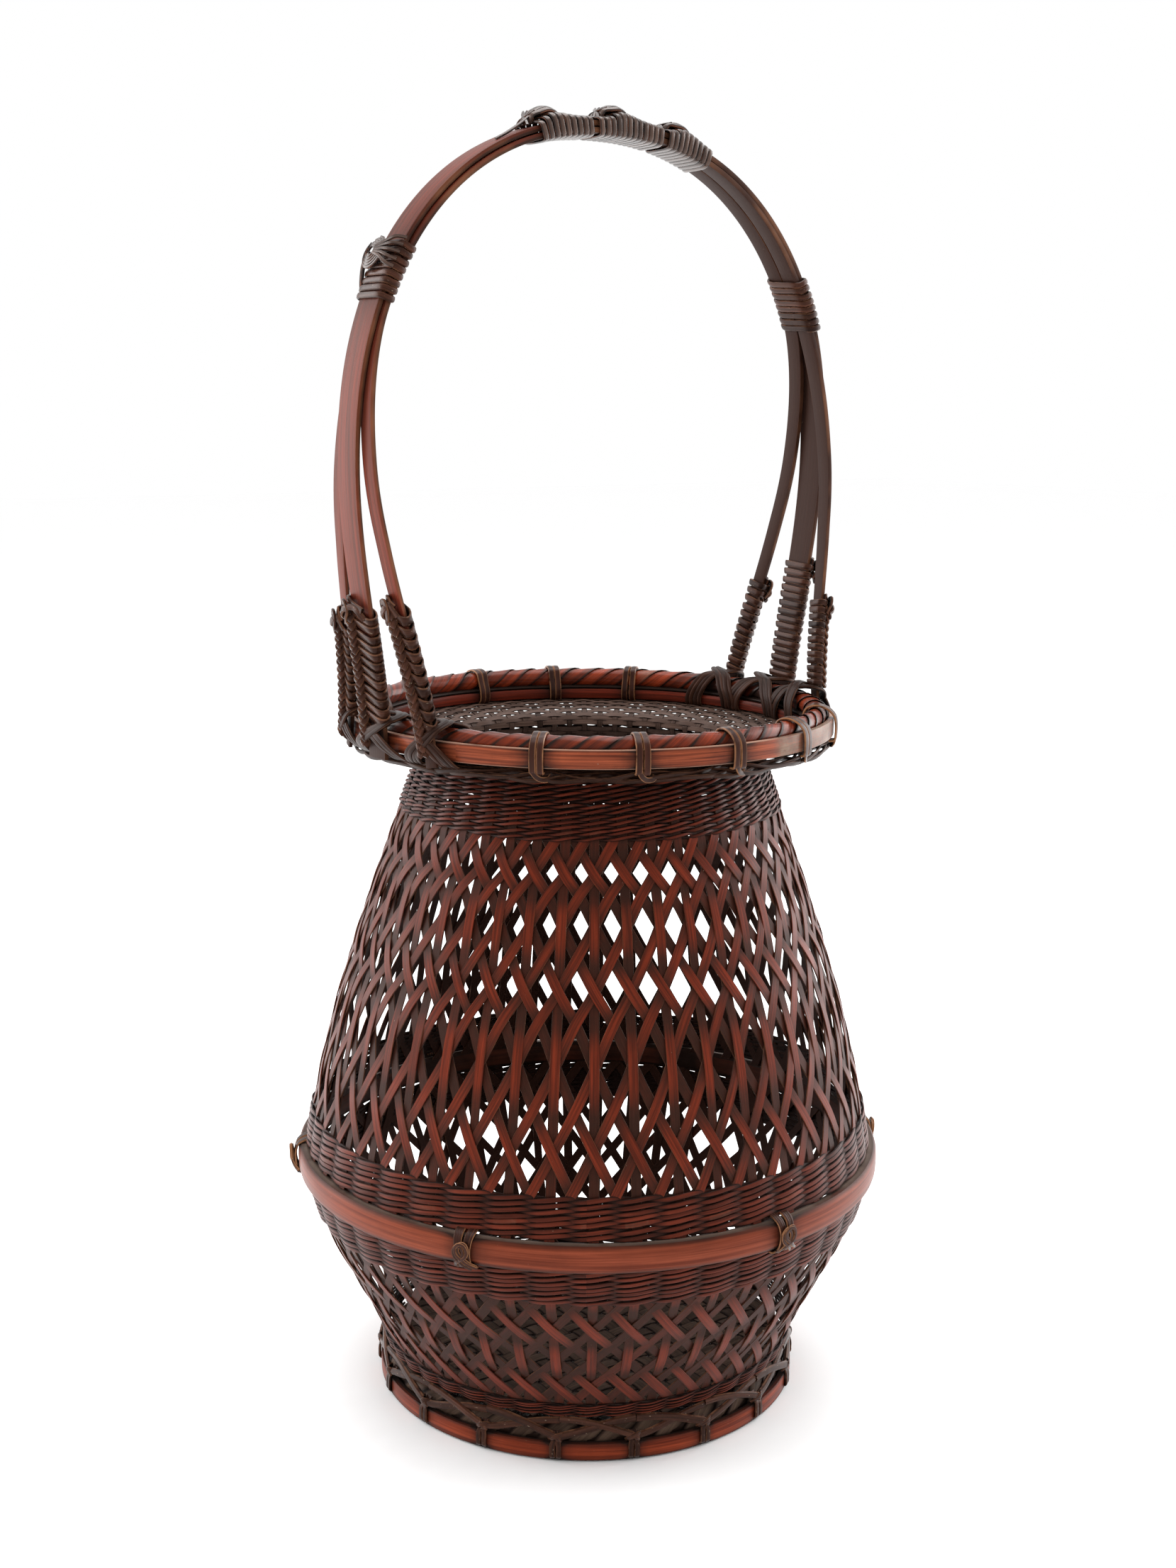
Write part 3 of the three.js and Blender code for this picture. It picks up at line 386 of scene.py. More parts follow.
# A smooth line through places, with a number of steps between each two
def spline(places, count=6):
    places = np.asarray(places, float)
    ends = np.vstack([2 * places[0] - places[1], places, 2 * places[-1] - places[-2]])
    t = np.linspace(0, 1, count, endpoint=False)[:, None]
    parts = []
    for a, b, c, d in zip(ends, ends[1:], ends[2:], ends[3:]):
        curved = 2 * b + (c - a) * t + (2 * a - 5 * b + 4 * c - d) * t ** 2 + (3 * b - a - 3 * c + d) * t ** 3
        parts.append(0.5 * curved)
    return np.vstack(parts + [places[-1:]])


# A line of [aside, radius, height] places set at an azimuth, facing away from the ring that it rounds
def aroundRing(azimuth, places, tone, girth, flat=False):
    aside, radius, height = spline(places).T
    facing = outward = radial(math.radians(azimuth) + aside / radius)
    if not flat:
        facing = polar(outward, np.gradient(height) + 1e-3, -np.gradient(radius))
    return path(polar(outward, radius, height), facing, tone, girth)


# A hoop's line, whose ends meet at an azimuth
def ringPath(radius, height, joint=0, tone=0.0, step=1.5):
    azimuth = np.arange(joint, joint + 360 + step / 2, step)
    outward = radial(np.radians(azimuth))
    return path(polar(outward, radius, height), outward, tone(azimuth) if callable(tone) else tone)


# Darker round each tie, by the distance along the hoop
def darkNear(places, radius, reach, amount=0.9):
    def tone(azimuth):
        apart = np.abs((azimuth[:, None] - np.asarray(places)[None, :] + 180) % 360 - 180)
        distance = np.radians(apart.min(1)) * radius
        return amount * np.exp(-(distance / reach) ** 2)
    return tone


# The body's outer radius at a height, as in the solids: heights, radii and slopes
body = Sizes(bottom=(11.7, 73.6, 0.25), belt=(86.7, 103.0), shoulderSlope=-0.12, neck=(232.0, 61.3, -0.36))
photoFront = -126


def hermite(z, z0, r0, s0, z1, r1, s1):
    span = z1 - z0
    t = (z - z0) / span
    return ((2 * t ** 3 - 3 * t ** 2 + 1) * r0 + (t ** 3 - 2 * t ** 2 + t) * span * s0
            + (3 * t ** 2 - 2 * t ** 3) * r1 + (t ** 3 - t ** 2) * span * s1)


def bodyRadius(z):
    z = np.asarray(z, float)
    low = hermite(z, *body.bottom, *body.belt, 0)
    neckAt = body.neck
    high = hermite(np.minimum(z, neckAt[0]), *body.belt, body.shoulderSlope, *neckAt)
    return np.where(z <= body.belt[0], low, high)


# Points on the body at photo angles (0 in front, + to the right), sunk by a depth
def onBody(angle, z, depth):
    outward = radial(np.radians(angle + photoFront))
    normal = unit(polar(outward, 1.0, bodyRadius(z - 0.5) - bodyRadius(z + 0.5)))
    return polar(outward, bodyRadius(z), z) - normal * depth[:, None], normal


# A smooth monotone curve through given places
def smoothThrough(x, xs, ys):
    order = np.argsort(xs)
    xs, ys = np.asarray(xs, float)[order], np.asarray(ys, float)[order]
    h = np.diff(xs)
    d = np.diff(ys) / h
    m = np.zeros(len(xs))
    m[0], m[-1] = d[0], d[-1]
    for i in range(1, len(xs) - 1):
        if d[i - 1] * d[i] > 0:
            w1, w2 = 2 * h[i] + h[i - 1], h[i] + 2 * h[i - 1]
            m[i] = (w1 + w2) / (w1 / d[i - 1] + w2 / d[i])
    i = np.clip(np.searchsorted(xs, x) - 1, 0, len(h) - 1)
    return hermite(x, xs[i], ys[i], m[i], xs[i + 1], ys[i + 1], m[i + 1])


# The weave: uprights and two sets of slanting strips, which meet at the triple rows and halfway between them
weave = Sizes(
    count=45, turn=1.3, size=(3.42, 0.5), step=2.2, top=222,
    # depths below the surface: the three strips of a whole row, and each kind at half rows
    levels=(0.3, 0.9, 1.5), halfRow={"upright": 0.6, "rising": 0.45, "falling": 1.1},
    # row heights from the neck down: at half rows only the slanting strips cross
    rows={0: 219.0, 0.5: 211.7, 1: 203.8, 1.5: 197.1, 2: 187.8, 2.5: 177.9, 3: 167.7, 3.5: 158.0, 4: 144.7,
          4.5: 131.1, 5: 118.1, 5.5: 104.7, 6: 92.0, 7: 72.5, 8: 55.2, 9: 40.4, 10: 28.0, 11: 15.0},
    uprightOver=(0, 2, 4, 6, 7, 9, 11),
    # under the twined bands the strips sink and are painted black as shade
    hidden=((12, 19.0), (68.4, 79.6), (92.0, 103.8), (214.6, 240)), sunk=0.35,
    # kind, lean, bottom and replaced nodes of each set
    sets={"uprightStrips": ("upright", 0, 20.5, ["body_weave"]), "risingStrips": ("rising", -1, 19.5, []),
          "fallingStrips": ("falling", 1, 19.5, ["bowl_weave"])},
)
pitch = 360 / weave.count


def weaveDepth(kind, row):
    if row % 1:
        return weave.halfRow[kind]
    over, between, under = weave.levels
    first, last = (over, under) if row in weave.uprightOver else (under, over)
    return {"upright": first, "rising": between, "falling": last}[kind]


def wovenStrips(kind, lean, bottom):
    rows, heights = [np.array(list(values)) for values in (weave.rows, weave.rows.values())]
    keep = (rows % 1 == 0) | (kind != "upright")
    depths = np.array([weaveDepth(kind, row) for row in rows[keep]])
    z = np.append(np.arange(weave.top, bottom, -weave.step), bottom)
    row = smoothThrough(z, heights, rows)
    depth = smoothThrough(z, heights[keep], depths)
    hidden = np.any([(z > low) & (z < high) for low, high in weave.hidden], axis=0)
    # painted shade: black under the bands, and darker the deeper a strip passes under the others
    tone = np.where(hidden, 1.0, np.clip((depth - 0.4) / 0.55, 0, 1) ** 1.1 * 0.88)
    depth = depth + weave.sunk * hidden
    for k in range(weave.count):
        angle = weave.turn + pitch * (k + lean * row) + rng.normal(0, 0.12)
        points, normal = onBody(angle, z, depth + rng.normal(0, 0.03))
        yield path(points, normal, tone + rng.normal(0.06, 0.06), rng.normal(1, 0.035))


for name, (kind, lean, bottom, nodes) in weave.sets.items():
    make(name, "brown_bamboo", nodes, wovenStrips(kind, lean, bottom), weave.size, "weaveBamboo", 0.2)
print("body woven")


# The base is a plain woven mat of wide dull strips
mat = Sizes(radius=70.4, middle=13.0, pitch=6.2, size=(5.4, 0.4), lift=0.3)


def matStrips():
    count = int(mat.radius // mat.pitch)
    for turn in (0, 1):
        for k in range(-count, count + 1):
            aside = k * mat.pitch
            reach = math.sqrt(mat.radius ** 2 - aside ** 2)
            s = np.arange(-reach, reach, mat.pitch / 4)
            lift = mat.lift * np.cos(np.pi * (s / mat.pitch + k + turn))
            flat = [s, aside + 0 * s] if turn else [aside + 0 * s, s]
            yield path(np.stack([*flat, mat.middle + lift], -1), up, rng.uniform(0, 0.6))


make("baseMat", "smoked_bamboo", ["base_mat"], matStrips(), mat.size, "matBamboo", 0.25)
print("base woven")


# Twined bands: in each row two strands wind round each other and pass outside the uprights by turns
bands = {
    "neckBand": {"bottom": 213.9, "top": 232.6, "rows": 11, "width": 1.15, "nodes": ["neck_twined_band"]},
    "upperBand": {"bottom": 91.2, "top": 104.6, "rows": 7, "width": 1.76, "nodes": ["upper_twined_band"]},
    "lowerBand": {"bottom": 67.6, "top": 80.4, "rows": 7, "width": 1.72, "nodes": ["lower_twined_band"]},
    "footBand": {"bottom": 15.6, "top": 20.4, "rows": 4, "width": 0.85, "nodes": []},
}
twining = Sizes(thickness=0.9, depth=0.45, swing=0.65, climb=0.32, sway=0.14)


def twinedRows(band):
    spacing = (band["top"] - band["bottom"]) / band["rows"]
    angle = np.arange(0, 360.001, 1.0)
    for row in range(band["rows"]):
        centre = band["bottom"] + spacing * (row + 0.5)
        waves = np.sin(np.radians(angle) * rng.integers(3, 9) + rng.uniform(0, 6))
        for strand in (0, 1):
            swing = np.pi * ((angle - weave.turn) / pitch + strand)
            depth = twining.depth - twining.swing * np.cos(swing)
            height = centre + twining.sway * spacing * waves + twining.climb * spacing * np.sin(swing)
            # painted shade: a strand grows darker as it passes in behind the uprights
            tone = np.clip((depth - 0.05) / 0.6, 0, 1) * 0.9
            points, normal = onBody(angle, height, depth)
            yield path(points, normal, tone + rng.normal(0.05, 0.1), 0.86 + 0.14 * np.cos(swing))


for name, band in bands.items():
    size = (band["width"], twining.thickness)
    make(name, "smoked_bamboo", band["nodes"], twinedRows(band), size, "twiningBamboo", 0.85)
print("bands twined")


# The neck wall: thin weavers in plain weave round upright stakes, flaring out under the rim
neck = Sizes(
    low=214.2, bend=232.3, sunk=2.2, inner=59.1, outer=78.1, flare=238.9, top=243.2, rows=22, stakes=64,
    weaver=(2.12, 0.45), stake=(2.2, 0.5), sway=0.36, uneven=0.16,
)


# The wall's middle line as radii and heights, and its outward directions, at shares of its length
def neckLine(shares):
    line = [(bodyRadius(z) - neck.sunk, z) for z in np.arange(neck.low, neck.bend, 1.0)]
    for angle in np.radians(np.arange(0, 91, 5)):
        radius = neck.inner + (neck.outer - neck.inner) * (1 - math.cos(angle))
        line.append((radius, neck.bend + (neck.flare - neck.bend) * math.sin(angle)))
    line = np.array(line + [(neck.outer + 0.1, neck.top)], float)
    length = lengthAlong(line)
    at = shares * length[-1]

    def placesAt(ahead):
        return np.stack([np.interp(at + ahead, length, values) for values in line.T], -1)

    tangent = unit(placesAt(0.8) - placesAt(-0.8))
    return placesAt(0), np.stack([tangent[:, 1], -tangent[:, 0]], -1)


def neckWeave():
    # they face inward, so their outer side under the rim takes the painted shade of a turned-in side
    weavers, stakes = [], []
    shares = (np.arange(neck.rows) + 0.5 + rng.normal(0, neck.uneven, neck.rows)) / neck.rows
    azimuth = np.arange(0, 360.01, 360 / neck.stakes / 3)
    outward = radial(np.radians(azimuth))
    for row, (spot, normal) in enumerate(zip(*neckLine(shares))):
        swing = neck.sway * np.cos(np.pi * (azimuth * neck.stakes / 360 + row))
        facing = polar(outward, *normal)
        weavers.append(path(polar(outward, *spot) + facing * swing[:, None], -facing, rng.uniform(0.0, 0.5)))
    places, normals = neckLine(np.linspace(0, 1, 41))
    for k in range(neck.stakes):
        outward = radial(2 * math.pi * k / neck.stakes)
        stakes.append(path(polar(outward, *places.T), -polar(outward, *normals.T), rng.uniform(0.3, 0.8)))
    return weavers, stakes


weavers, stakes = neckWeave()
weavers = sweep("neckWall", weavers, neck.weaver, "liningBamboo", 0.35, 6)
stakes = sweep("neckStakes", stakes, neck.stake, "liningBamboo", 0.3, 6)
dress(joinPieces([weavers, stakes]), "smoked_bamboo", "neck_wall")
print("neck woven")


# The belt: a rounded strip bent round the widest part, with a knot of fine strands at six places
belt = Sizes(radius=103.15, middle=85.7, size=(9.9, 5.2), knots=[32 + 60 * k for k in range(6)], joint=-8)
beltPath = ringPath(belt.radius, belt.middle, belt.joint, darkNear(belt.knots, belt.radius, 5.5))
make("belt", "red_bamboo", ["belt_hoop"], [beltPath], belt.size, "beltBamboo", 0.62, 16)

beltKnot = Sizes(
    strands=(-3.2, -2.25, -1.3, 1.3, 2.25, 3.2), size=(1.3, 0.95),
    over=[(101.4, 79.3), (104.2, 79.6), (106.0, 81.4), (106.7, 84.0), (106.7, 87.3), (105.8, 90.1),
          (103.6, 91.6), (101.0, 92.2)],
    pinch=(1.0, 0.95, 0.8, 0.7, 0.72, 0.85, 0.95, 1.0),
    loop=[(-1.6, 104.8, 80.4), (-0.9, 107.0, 82.6), (1.0, 107.7, 84.2), (1.7, 107.8, 86.4),
          (0.9, 107.9, 88.4), (-0.7, 107.9, 88.6), (-1.8, 107.7, 87.0), (-1.5, 107.6, 84.9),
          (0.2, 107.4, 83.2), (1.8, 106.6, 81.6), (3.6, 105.2, 80.2)],
    shifts=((0.0, 0.0), (0.8, 0.35), (-0.8, 0.3), (0.3, 0.7)),
)


def beltKnotPaths(azimuth):
    for aside in beltKnot.strands:
        places = [(aside * p, r, z) for p, (r, z) in zip(beltKnot.pinch, beltKnot.over)]
        yield aroundRing(azimuth, places, rng.uniform(0.1, 0.6), rng.uniform(0.9, 1.1))
    for shift, lift in beltKnot.shifts:
        stretch = 1.3 - 0.4 * abs(shift)
        places = [(s * stretch + shift, r + lift, z + shift * 0.7) for s, r, z in beltKnot.loop]
        yield aroundRing(azimuth, places, rng.uniform(-0.05, 0.2), 0.85, flat=True)


for k, azimuth in enumerate(belt.knots):
    name, nodes = f"beltKnot{k + 1}", [f"belt_knot_{k + 1}"]
    make(name, "rattan", nodes, beltKnotPaths(azimuth), beltKnot.size, "tieRattan", 0.7)
print("belt knotted")


rim = Sizes(
    radius=84.8, middle=244.15, size=(6.3, 2.0), joint=204, bare=(277, 318), inner=75.7, innerMiddle=241.5,
    innerSize=(3.6, 2.1),
    ties=[42.6, 65.1, 87.6, 110.1, 132.6, 222.6, 245.1, 267.6, 290.1, 312.6],
    legs=[0, 17.5, 342.5, 162.5, 180, 197.5],
)


# A roll's wide strips, wound slantwise and each lapping over the next
def wrappedRoll(roll):
    turns = round(2 * np.pi * roll.centre / roll.advance)
    around = np.linspace(0, 2 * np.pi, turns * roll.steps + 1)
    outward = radial(around)
    out, high = roll.half
    slant = math.tan(math.radians(roll.tilt))
    for start in roll.starts:
        swing = around * turns + 2 * np.pi * (start + 0.03 * np.sin(around * 5 + start * 9))
        c, s = np.cos(swing), np.sin(swing)
        points = polar(outward, roll.centre + out * c, roll.height + high * s)
        normal = unit(polar(outward, c / out, s / high))
        side = np.cross(unit(np.gradient(points, axis=0)), normal)
        marks = rng.uniform(*roll.tone, 3 * turns + 1)
        shade = np.interp(around, np.linspace(0, 2 * np.pi, 3 * turns + 1), marks)
        # painted shade on the lower side of the roll
        shade = shade + roll.under * (1 - np.sin(swing - 0.5))
        if "smoke" in roll:
            shade = shade + roll.smoke(np.degrees(around))
        yield path(points, normal + side * slant, shade)


# A roll is its wraps round cores, each with a radius, a height and a size. The cores, seen only in the gaps
# between wraps, are given full painted shade
def rolled(name, roll, material):
    pieces = [sweep(name, wrappedRoll(roll), roll.size, material, 0.4, 8, roll.bow)]
    for radius, height, size in roll.cores:
        core = ringPath(radius, height, tone=1.0, step=3.0)
        pieces.append(sweep(name + "Core", [core], size, "liningBamboo", 1.0, 12))
    return joinPieces(pieces)


rimRoll = Sizes(
    centre=79.9, height=247.25, half=(3.25, 3.25), advance=25.8, starts=(0.0, 0.31, 0.65), steps=20,
    tilt=6.0, tone=(-0.4, 0.5), under=0.25, size=(5.9, 0.45), bow=0.68,
    smoke=darkNear(rim.legs, 80, 9.0, 0.7), cores=((79.9, 247.25, (6.0, 6.0)), (77.4, 243.9, (1.6, 3.0))),
)
dress(rolled("rimRoll", rimRoll, "rollBamboo"), "brown_bamboo", "rim_roll")
print("rim rolled")


# The rim's hoops, inside and outside the roll
smoke = darkNear(rim.ties + rim.legs, rim.radius, 5.5, 1.0)


# The outer hoop is bare and grey where it is worn at one side
def rimTone(azimuth):
    low, high = rim.bare
    wearAndHighlight = np.clip((azimuth - low) / 6, 0, 1) * np.clip((high - azimuth) / 6, 0, 1)
    return smoke(azimuth) * (1 - wearAndHighlight) - wearAndHighlight


outer = ringPath(rim.radius, rim.middle, rim.joint, rimTone)
make("rimOuterHoop", "red_bamboo", ["rim_outer_hoop"], [outer], rim.size, "hoopBamboo", 0.22, 12)
inner = ringPath(rim.inner, rim.innerMiddle, 0, darkNear(rim.ties, rim.inner, 5.0), 2.0)
# the inner hoop faces inward, so the painted shade of a turned-in side falls on its side against the roll
inner["facing"] = -inner["facing"]
make("rimInnerHoop", "brown_bamboo", ["rim_inner_hoop"], [inner], rim.innerSize, "innerHoopBamboo", 0.25, 12)

rimTie = Sizes(
    size=(2.3, 0.9), apart=1.2,
    over=[(84.4, 239.4), (86.4, 239.7), (86.8, 242.0), (86.75, 245.6), (86.0, 248.3), (83.6, 250.5),
          (79.9, 251.55), (76.5, 250.5), (75.1, 247.4), (73.95, 244.3), (73.85, 241.0), (75.4, 239.0)],
    hook=[(-1.2, 86.7, 242.0), (-0.7, 86.5, 239.4), (1.2, 85.4, 237.6), (3.6, 84.4, 237.5),
          (4.6, 83.4, 238.6)],
)


def rimTiePaths(azimuth):
    for sign in (-1, 1):
        lean = rng.normal(0, 0.25)
        places = [(sign * rimTie.apart + lean * (i - 5) / 5, *place) for i, place in enumerate(rimTie.over)]
        yield aroundRing(azimuth, places, rng.uniform(0.1, 0.4), 1.0)
    yield aroundRing(azimuth, rimTie.hook, 0.4, 0.8, flat=True)


for azimuth in rim.ties:
    number = round((azimuth + 2.4) / 22.5) + 1
    name, nodes = f"rimTie{number}", [f"rim_tie_{number}"]
    make(name, "rattan", nodes, rimTiePaths(azimuth), rimTie.size, "tieRattan", 0.55)

# Loose strands laced along under the outer hoop
under = Sizes(radius=82.8, height=238.3, strands=6, size=(1.7, 1.0))


def underLacing():
    a = np.radians(np.arange(0, 360.01, 2.0))
    outward = radial(a)
    for k in range(under.strands):
        radius = under.radius + 1.9 * np.sin(8 * a + 1.1 * k) + 0.5 * np.sin(19 * a + k)
        height = under.height + 1.2 * np.cos(8 * a + 1.7 * k + 0.6) + 0.4 * np.sin(23 * a + 2 * k)
        yield path(polar(outward, radius, height), outward * 0.7 - up * 0.5, 0.6)


make("underLacing", "rattan", ["rim_under_lacing"], underLacing(), under.size, "crossRattan", 0.7)
print("rim tied")


# The foot: a hoop outside, a wrapped roll inside it and lacing round both
foot = Sizes(radius=75.5, middle=3.15, size=(6.2, 2.4), ties=[6.5 + 20 * k for k in range(18)], joint=-42)
hoop = ringPath(foot.radius, foot.middle, foot.joint, darkNear(foot.ties, foot.radius, 3.2))
make("footHoop", "red_bamboo", ["foot_hoop"], [hoop], foot.size, "footHoopBamboo", 0.22, 12)

footRoll = Sizes(
    centre=70.2, height=6.0, half=(3.3, 4.9), advance=30.0, starts=(0.0, 0.33, 0.66), steps=18, tilt=9.0,
    tone=(-0.2, 0.2), under=0.1, size=(6.4, 0.5), bow=0.5, cores=((70.2, 5.95, (9.6, 6.4)),),
)
dress(rolled("footRoll", footRoll, "footBamboo"), "smoked_bamboo", "foot_roll")

footTie = Sizes(
    size=(1.9, 1.0), apart=1.05,
    over=[(73.8, 1.3), (76.0, 1.0), (77.3, 1.6), (77.45, 3.2), (77.35, 5.6), (76.6, 7.3), (75.4, 8.3),
          (74.2, 9.6)],
    collar=[(-2.3, 75.6, 7.0), (-1.5, 77.0, 8.1), (0.2, 77.7, 9.2), (1.8, 77.0, 9.5), (2.4, 75.6, 9.0)],
    head=[(-1.6, 75.4, 9.6), (-0.6, 77.2, 9.6), (0.8, 77.5, 8.4), (1.4, 76.8, 7.0)],
    # a lace leaves each knot and rises under the bowl, and another comes down to the next knot
    rising=[(1.0, 76.6, 8.6), (4.5, 76.2, 9.3), (9.5, 75.8, 10.6), (15.0, 75.4, 12.2), (21.0, 75.0, 13.6),
            (27.0, 74.6, 14.0)],
    falling=[(-25.0, 75.0, 14.2), (-19.0, 75.2, 14.0), (-12.0, 75.7, 12.7), (-6.0, 76.3, 10.9),
             (-0.6, 76.9, 9.2)],
    laceSize=(2.7, 1.9),
)


def footTies():
    straps, laces = [], []
    for azimuth in foot.ties:
        for sign in (-1, 1):
            places = [(sign * footTie.apart * (1 if z < 7 else 0.5), r, z) for r, z in footTie.over]
            straps.append(aroundRing(azimuth, places, rng.uniform(0.2, 0.6), rng.uniform(0.92, 1.05)))
        for label in ("collar", "head"):
            straps.append(aroundRing(azimuth, footTie[label], rng.uniform(0, 0.4), 0.95, flat=True))
        for label in ("rising", "falling"):
            lift = rng.normal(0, 0.25)
            places = [(s, r, z + lift * (abs(s) > 2)) for s, r, z in footTie[label]]
            tone, girth = rng.uniform(0.1, 0.5), rng.uniform(0.85, 1.1)
            laces.append(aroundRing(azimuth, places, tone, girth, flat=True))
    return straps, laces


straps, laces = footTies()
straps = sweep("footLacing", straps, footTie.size, "boundRattan", 0.7)
laces = sweep("footLaces", laces, footTie.laceSize, "boundRattan", 0.9)
dress(joinPieces([straps, laces]), "rattan", "foot_lacing")
print("foot laced")


# The handle: three strips bent in an arch, bound together above and spread at the feet
handle = Sizes(
    crown=444.4, spring=335.0, half=98.2, square=2.2, foot=238.5, footRadius=87.2, forward=(5.0, 1.5),
    spread=17.5, fanStart=380.7, fanSweep=1.2, stackedShare=0.5, stack=2.3, side=3.55, thickness=2.0,
    centre=(12.5, 10.3), outer=(6.8, 4.4),
)
archHeight = handle.crown - handle.spring
legs = {"front": -1, "centre": 0, "back": 1}
sides = {"left": -1, "right": 1}


def fan(z):
    return np.clip((handle.fanStart - z) / (handle.fanStart - handle.foot), 0, 1)


def footY(strip):
    return strip * handle.footRadius * math.sin(math.radians(handle.spread)) - handle.forward[1]


# Half of a strip's width at a height
def halfWidth(z, strip):
    full, footed = handle["outer" if strip else "centre"]
    return (full + (footed - full) * fan(z)) / 2


def legPoint(z, strip, side):
    spread = fan(z)
    rise = np.clip((z - handle.spring) / archHeight, 0, 1)
    arched = z > handle.spring
    footX = math.sqrt(handle.footRadius ** 2 - footY(strip) ** 2)
    low = hermite(z, handle.foot, footX, 0.03, handle.spring, handle.half, 0)
    x = np.where(arched, handle.half * (1 - rise ** handle.square) ** (1 / handle.square), low)
    power = handle.square - 1
    outX = np.where(arched, (x / handle.half) ** power / handle.half, 1.0)
    outZ = np.where(arched, rise ** power / archHeight, 0.0)
    stacked = abs(strip) * handle.stack * np.minimum((1 - spread) / (1 - handle.stackedShare), 1)
    stacked = stacked / np.hypot(outX, outZ)
    high, low = handle.forward
    aside = handle.side + (footY(1) + low - handle.side) * spread ** handle.fanSweep
    y = -high + (high - low) * spread + strip * aside
    return np.stack([side * (x - stacked * outX), y, z - stacked * outZ], -1)


# Place, direction along the strip, direction of its width and outward direction at a height
def legFrames(z, strip, side):
    above = legPoint(np.minimum(z + 0.5, handle.crown - 1e-6), strip, side)
    along = unit(above - legPoint(z - 0.5, strip, side))
    twist = math.asin(footY(strip) / handle.footRadius) * fan(z) ** 2
    across = squareTo(np.stack([-side * np.sin(twist), np.cos(twist), 0 * z], -1), along)
    return legPoint(z, strip, side), along, across, unit(np.cross(across, along)) * side


def crownFrames(x):
    def zAt(u):
        share = 1 - (np.abs(u) / handle.half) ** handle.square
        return handle.spring + archHeight * share ** (1 / handle.square)

    point = np.stack([x, 0 * x - handle.forward[0], zAt(x)], -1)
    along = unit(np.stack([0 * x + 1.0, 0 * x, zAt(x + 0.5) - zAt(x - 0.5)], -1))
    across = np.broadcast_to([0, 1.0, 0], point.shape)
    return point, along, across, unit(np.cross(along, across))


# The middle of the bundle, below its outermost strip
def middleOf(frames):
    def moved(t):
        point, along, across, outward = frames(t)
        return point - outward * handle.stack / 2, along, across, outward
    return moved


def handleStripPath(strip):
    low = np.arange(handle.foot, handle.spring, 3.0)
    share = np.sin(np.radians(np.arange(1.0, 90.01, 1.0))) ** (2 / handle.square)
    z = np.concatenate([low, handle.spring + archHeight * share])
    left = legFrames(z, strip, -1)
    right = legFrames(z[:-1][::-1], strip, 1)
    points, facing = [np.concatenate([left[i], right[i]]) for i in (0, 3)]
    x, z = points[:, 0], points[:, 2]
    girth = 2 * halfWidth(z, strip) / handle["outer" if strip else "centre"][0]
    # the left limb is redder and the right one darker, and the strips are darker too at the shoulder and the
    # crown
    darkNearBindings = np.exp(-((z - 394) / 17) ** 2) + np.exp(-((x - 6) / 38) ** 4) * (z > 400)
    # each foot is painted black as shade under its lashing
    tone = np.where(z < 280, 1.0, np.clip(0.37 + x / 160, 0.05, 0.68) + 0.7 * darkNearBindings)
    return path(points, facing, tone, girth)


for name, strip in legs.items():
    size = (handle["outer" if strip else "centre"][0], handle.thickness)
    line = handleStripPath(strip)
    make("handleStrip" + name.capitalize(), "brown_bamboo", ["handle_strip_" + name], [line], size,
         "handleBamboo", 0.22, 12)
print("handle bent")


# How a strand winds: steps per turn, clearance, how sharply it takes corners, and the spread of its tone
winding = Sizes(steps=24, clearance=0.25, corner=0.45, face=1.6, uneven=0.2)


# A strand wound round a bar (half its width and thickness): level round most of each turn, stepping on across
# the inner face (hidden -1) or the outer one (hidden 1)
def windTurns(frames, ends, turns, bar, size, tone=0.3, wobble=0.1, slant=0, tilt=0, lift=None, hidden=-1):
    swing = np.linspace(0, 2 * np.pi * turns, turns * winding.steps + 1)
    turn = np.floor(swing / (2 * np.pi) + 1e-9)
    stepped = turn + np.clip(2 * (swing / (2 * np.pi) - turn) - (hidden < 0), 0, 1)
    place = ends[0] + (ends[1] - ends[0]) * stepped / turns
    point, along, across, outward = frames(place)
    half, thick = bar[0](place) if callable(bar[0]) else bar[0], bar[1]
    reach = winding.clearance + size[1] / 2

    def rounded(value, power):
        return np.sign(value) * np.abs(value) ** power

    def turned(values):
        return across * values[0][:, None] + outward * values[1][:, None]

    c, s = np.cos(swing), np.sin(swing)
    aside = (half + reach) * rounded(c, winding.corner)
    out = (thick + reach) * rounded(s, winding.corner)
    if lift:
        out = out + lift(place) * np.clip(s, 0, 1) ** 0.7
    facing = turned([rounded(value, winding.face) + 0.3 * value for value in (c, s)]) + along * tilt
    marks = rng.normal(0, winding.uneven, turns + 1)
    tone = tone + np.interp(swing, np.arange(turns + 1) * 2 * np.pi, marks)
    drift = np.interp(swing, np.arange(turns * 2 + 1) * np.pi, rng.normal(0, wobble, turns * 2 + 1))
    return path(point + turned([aside, out]) + along * (drift + slant * aside / half)[:, None], facing, tone)


# A line in a strip's frames: places are [t, aside, out], and it faces away from the strip
def onStrip(frames, places, tone, girth=1.0, count=6):
    spots = spline(places, count)
    point, along, across, outward = frames(spots[:, 0])
    points = point + across * spots[:, 1:2] + outward * spots[:, 2:3]
    return path(points, outward + across * np.clip(spots[:, 1:2] / 6, -1, 1), tone, girth)


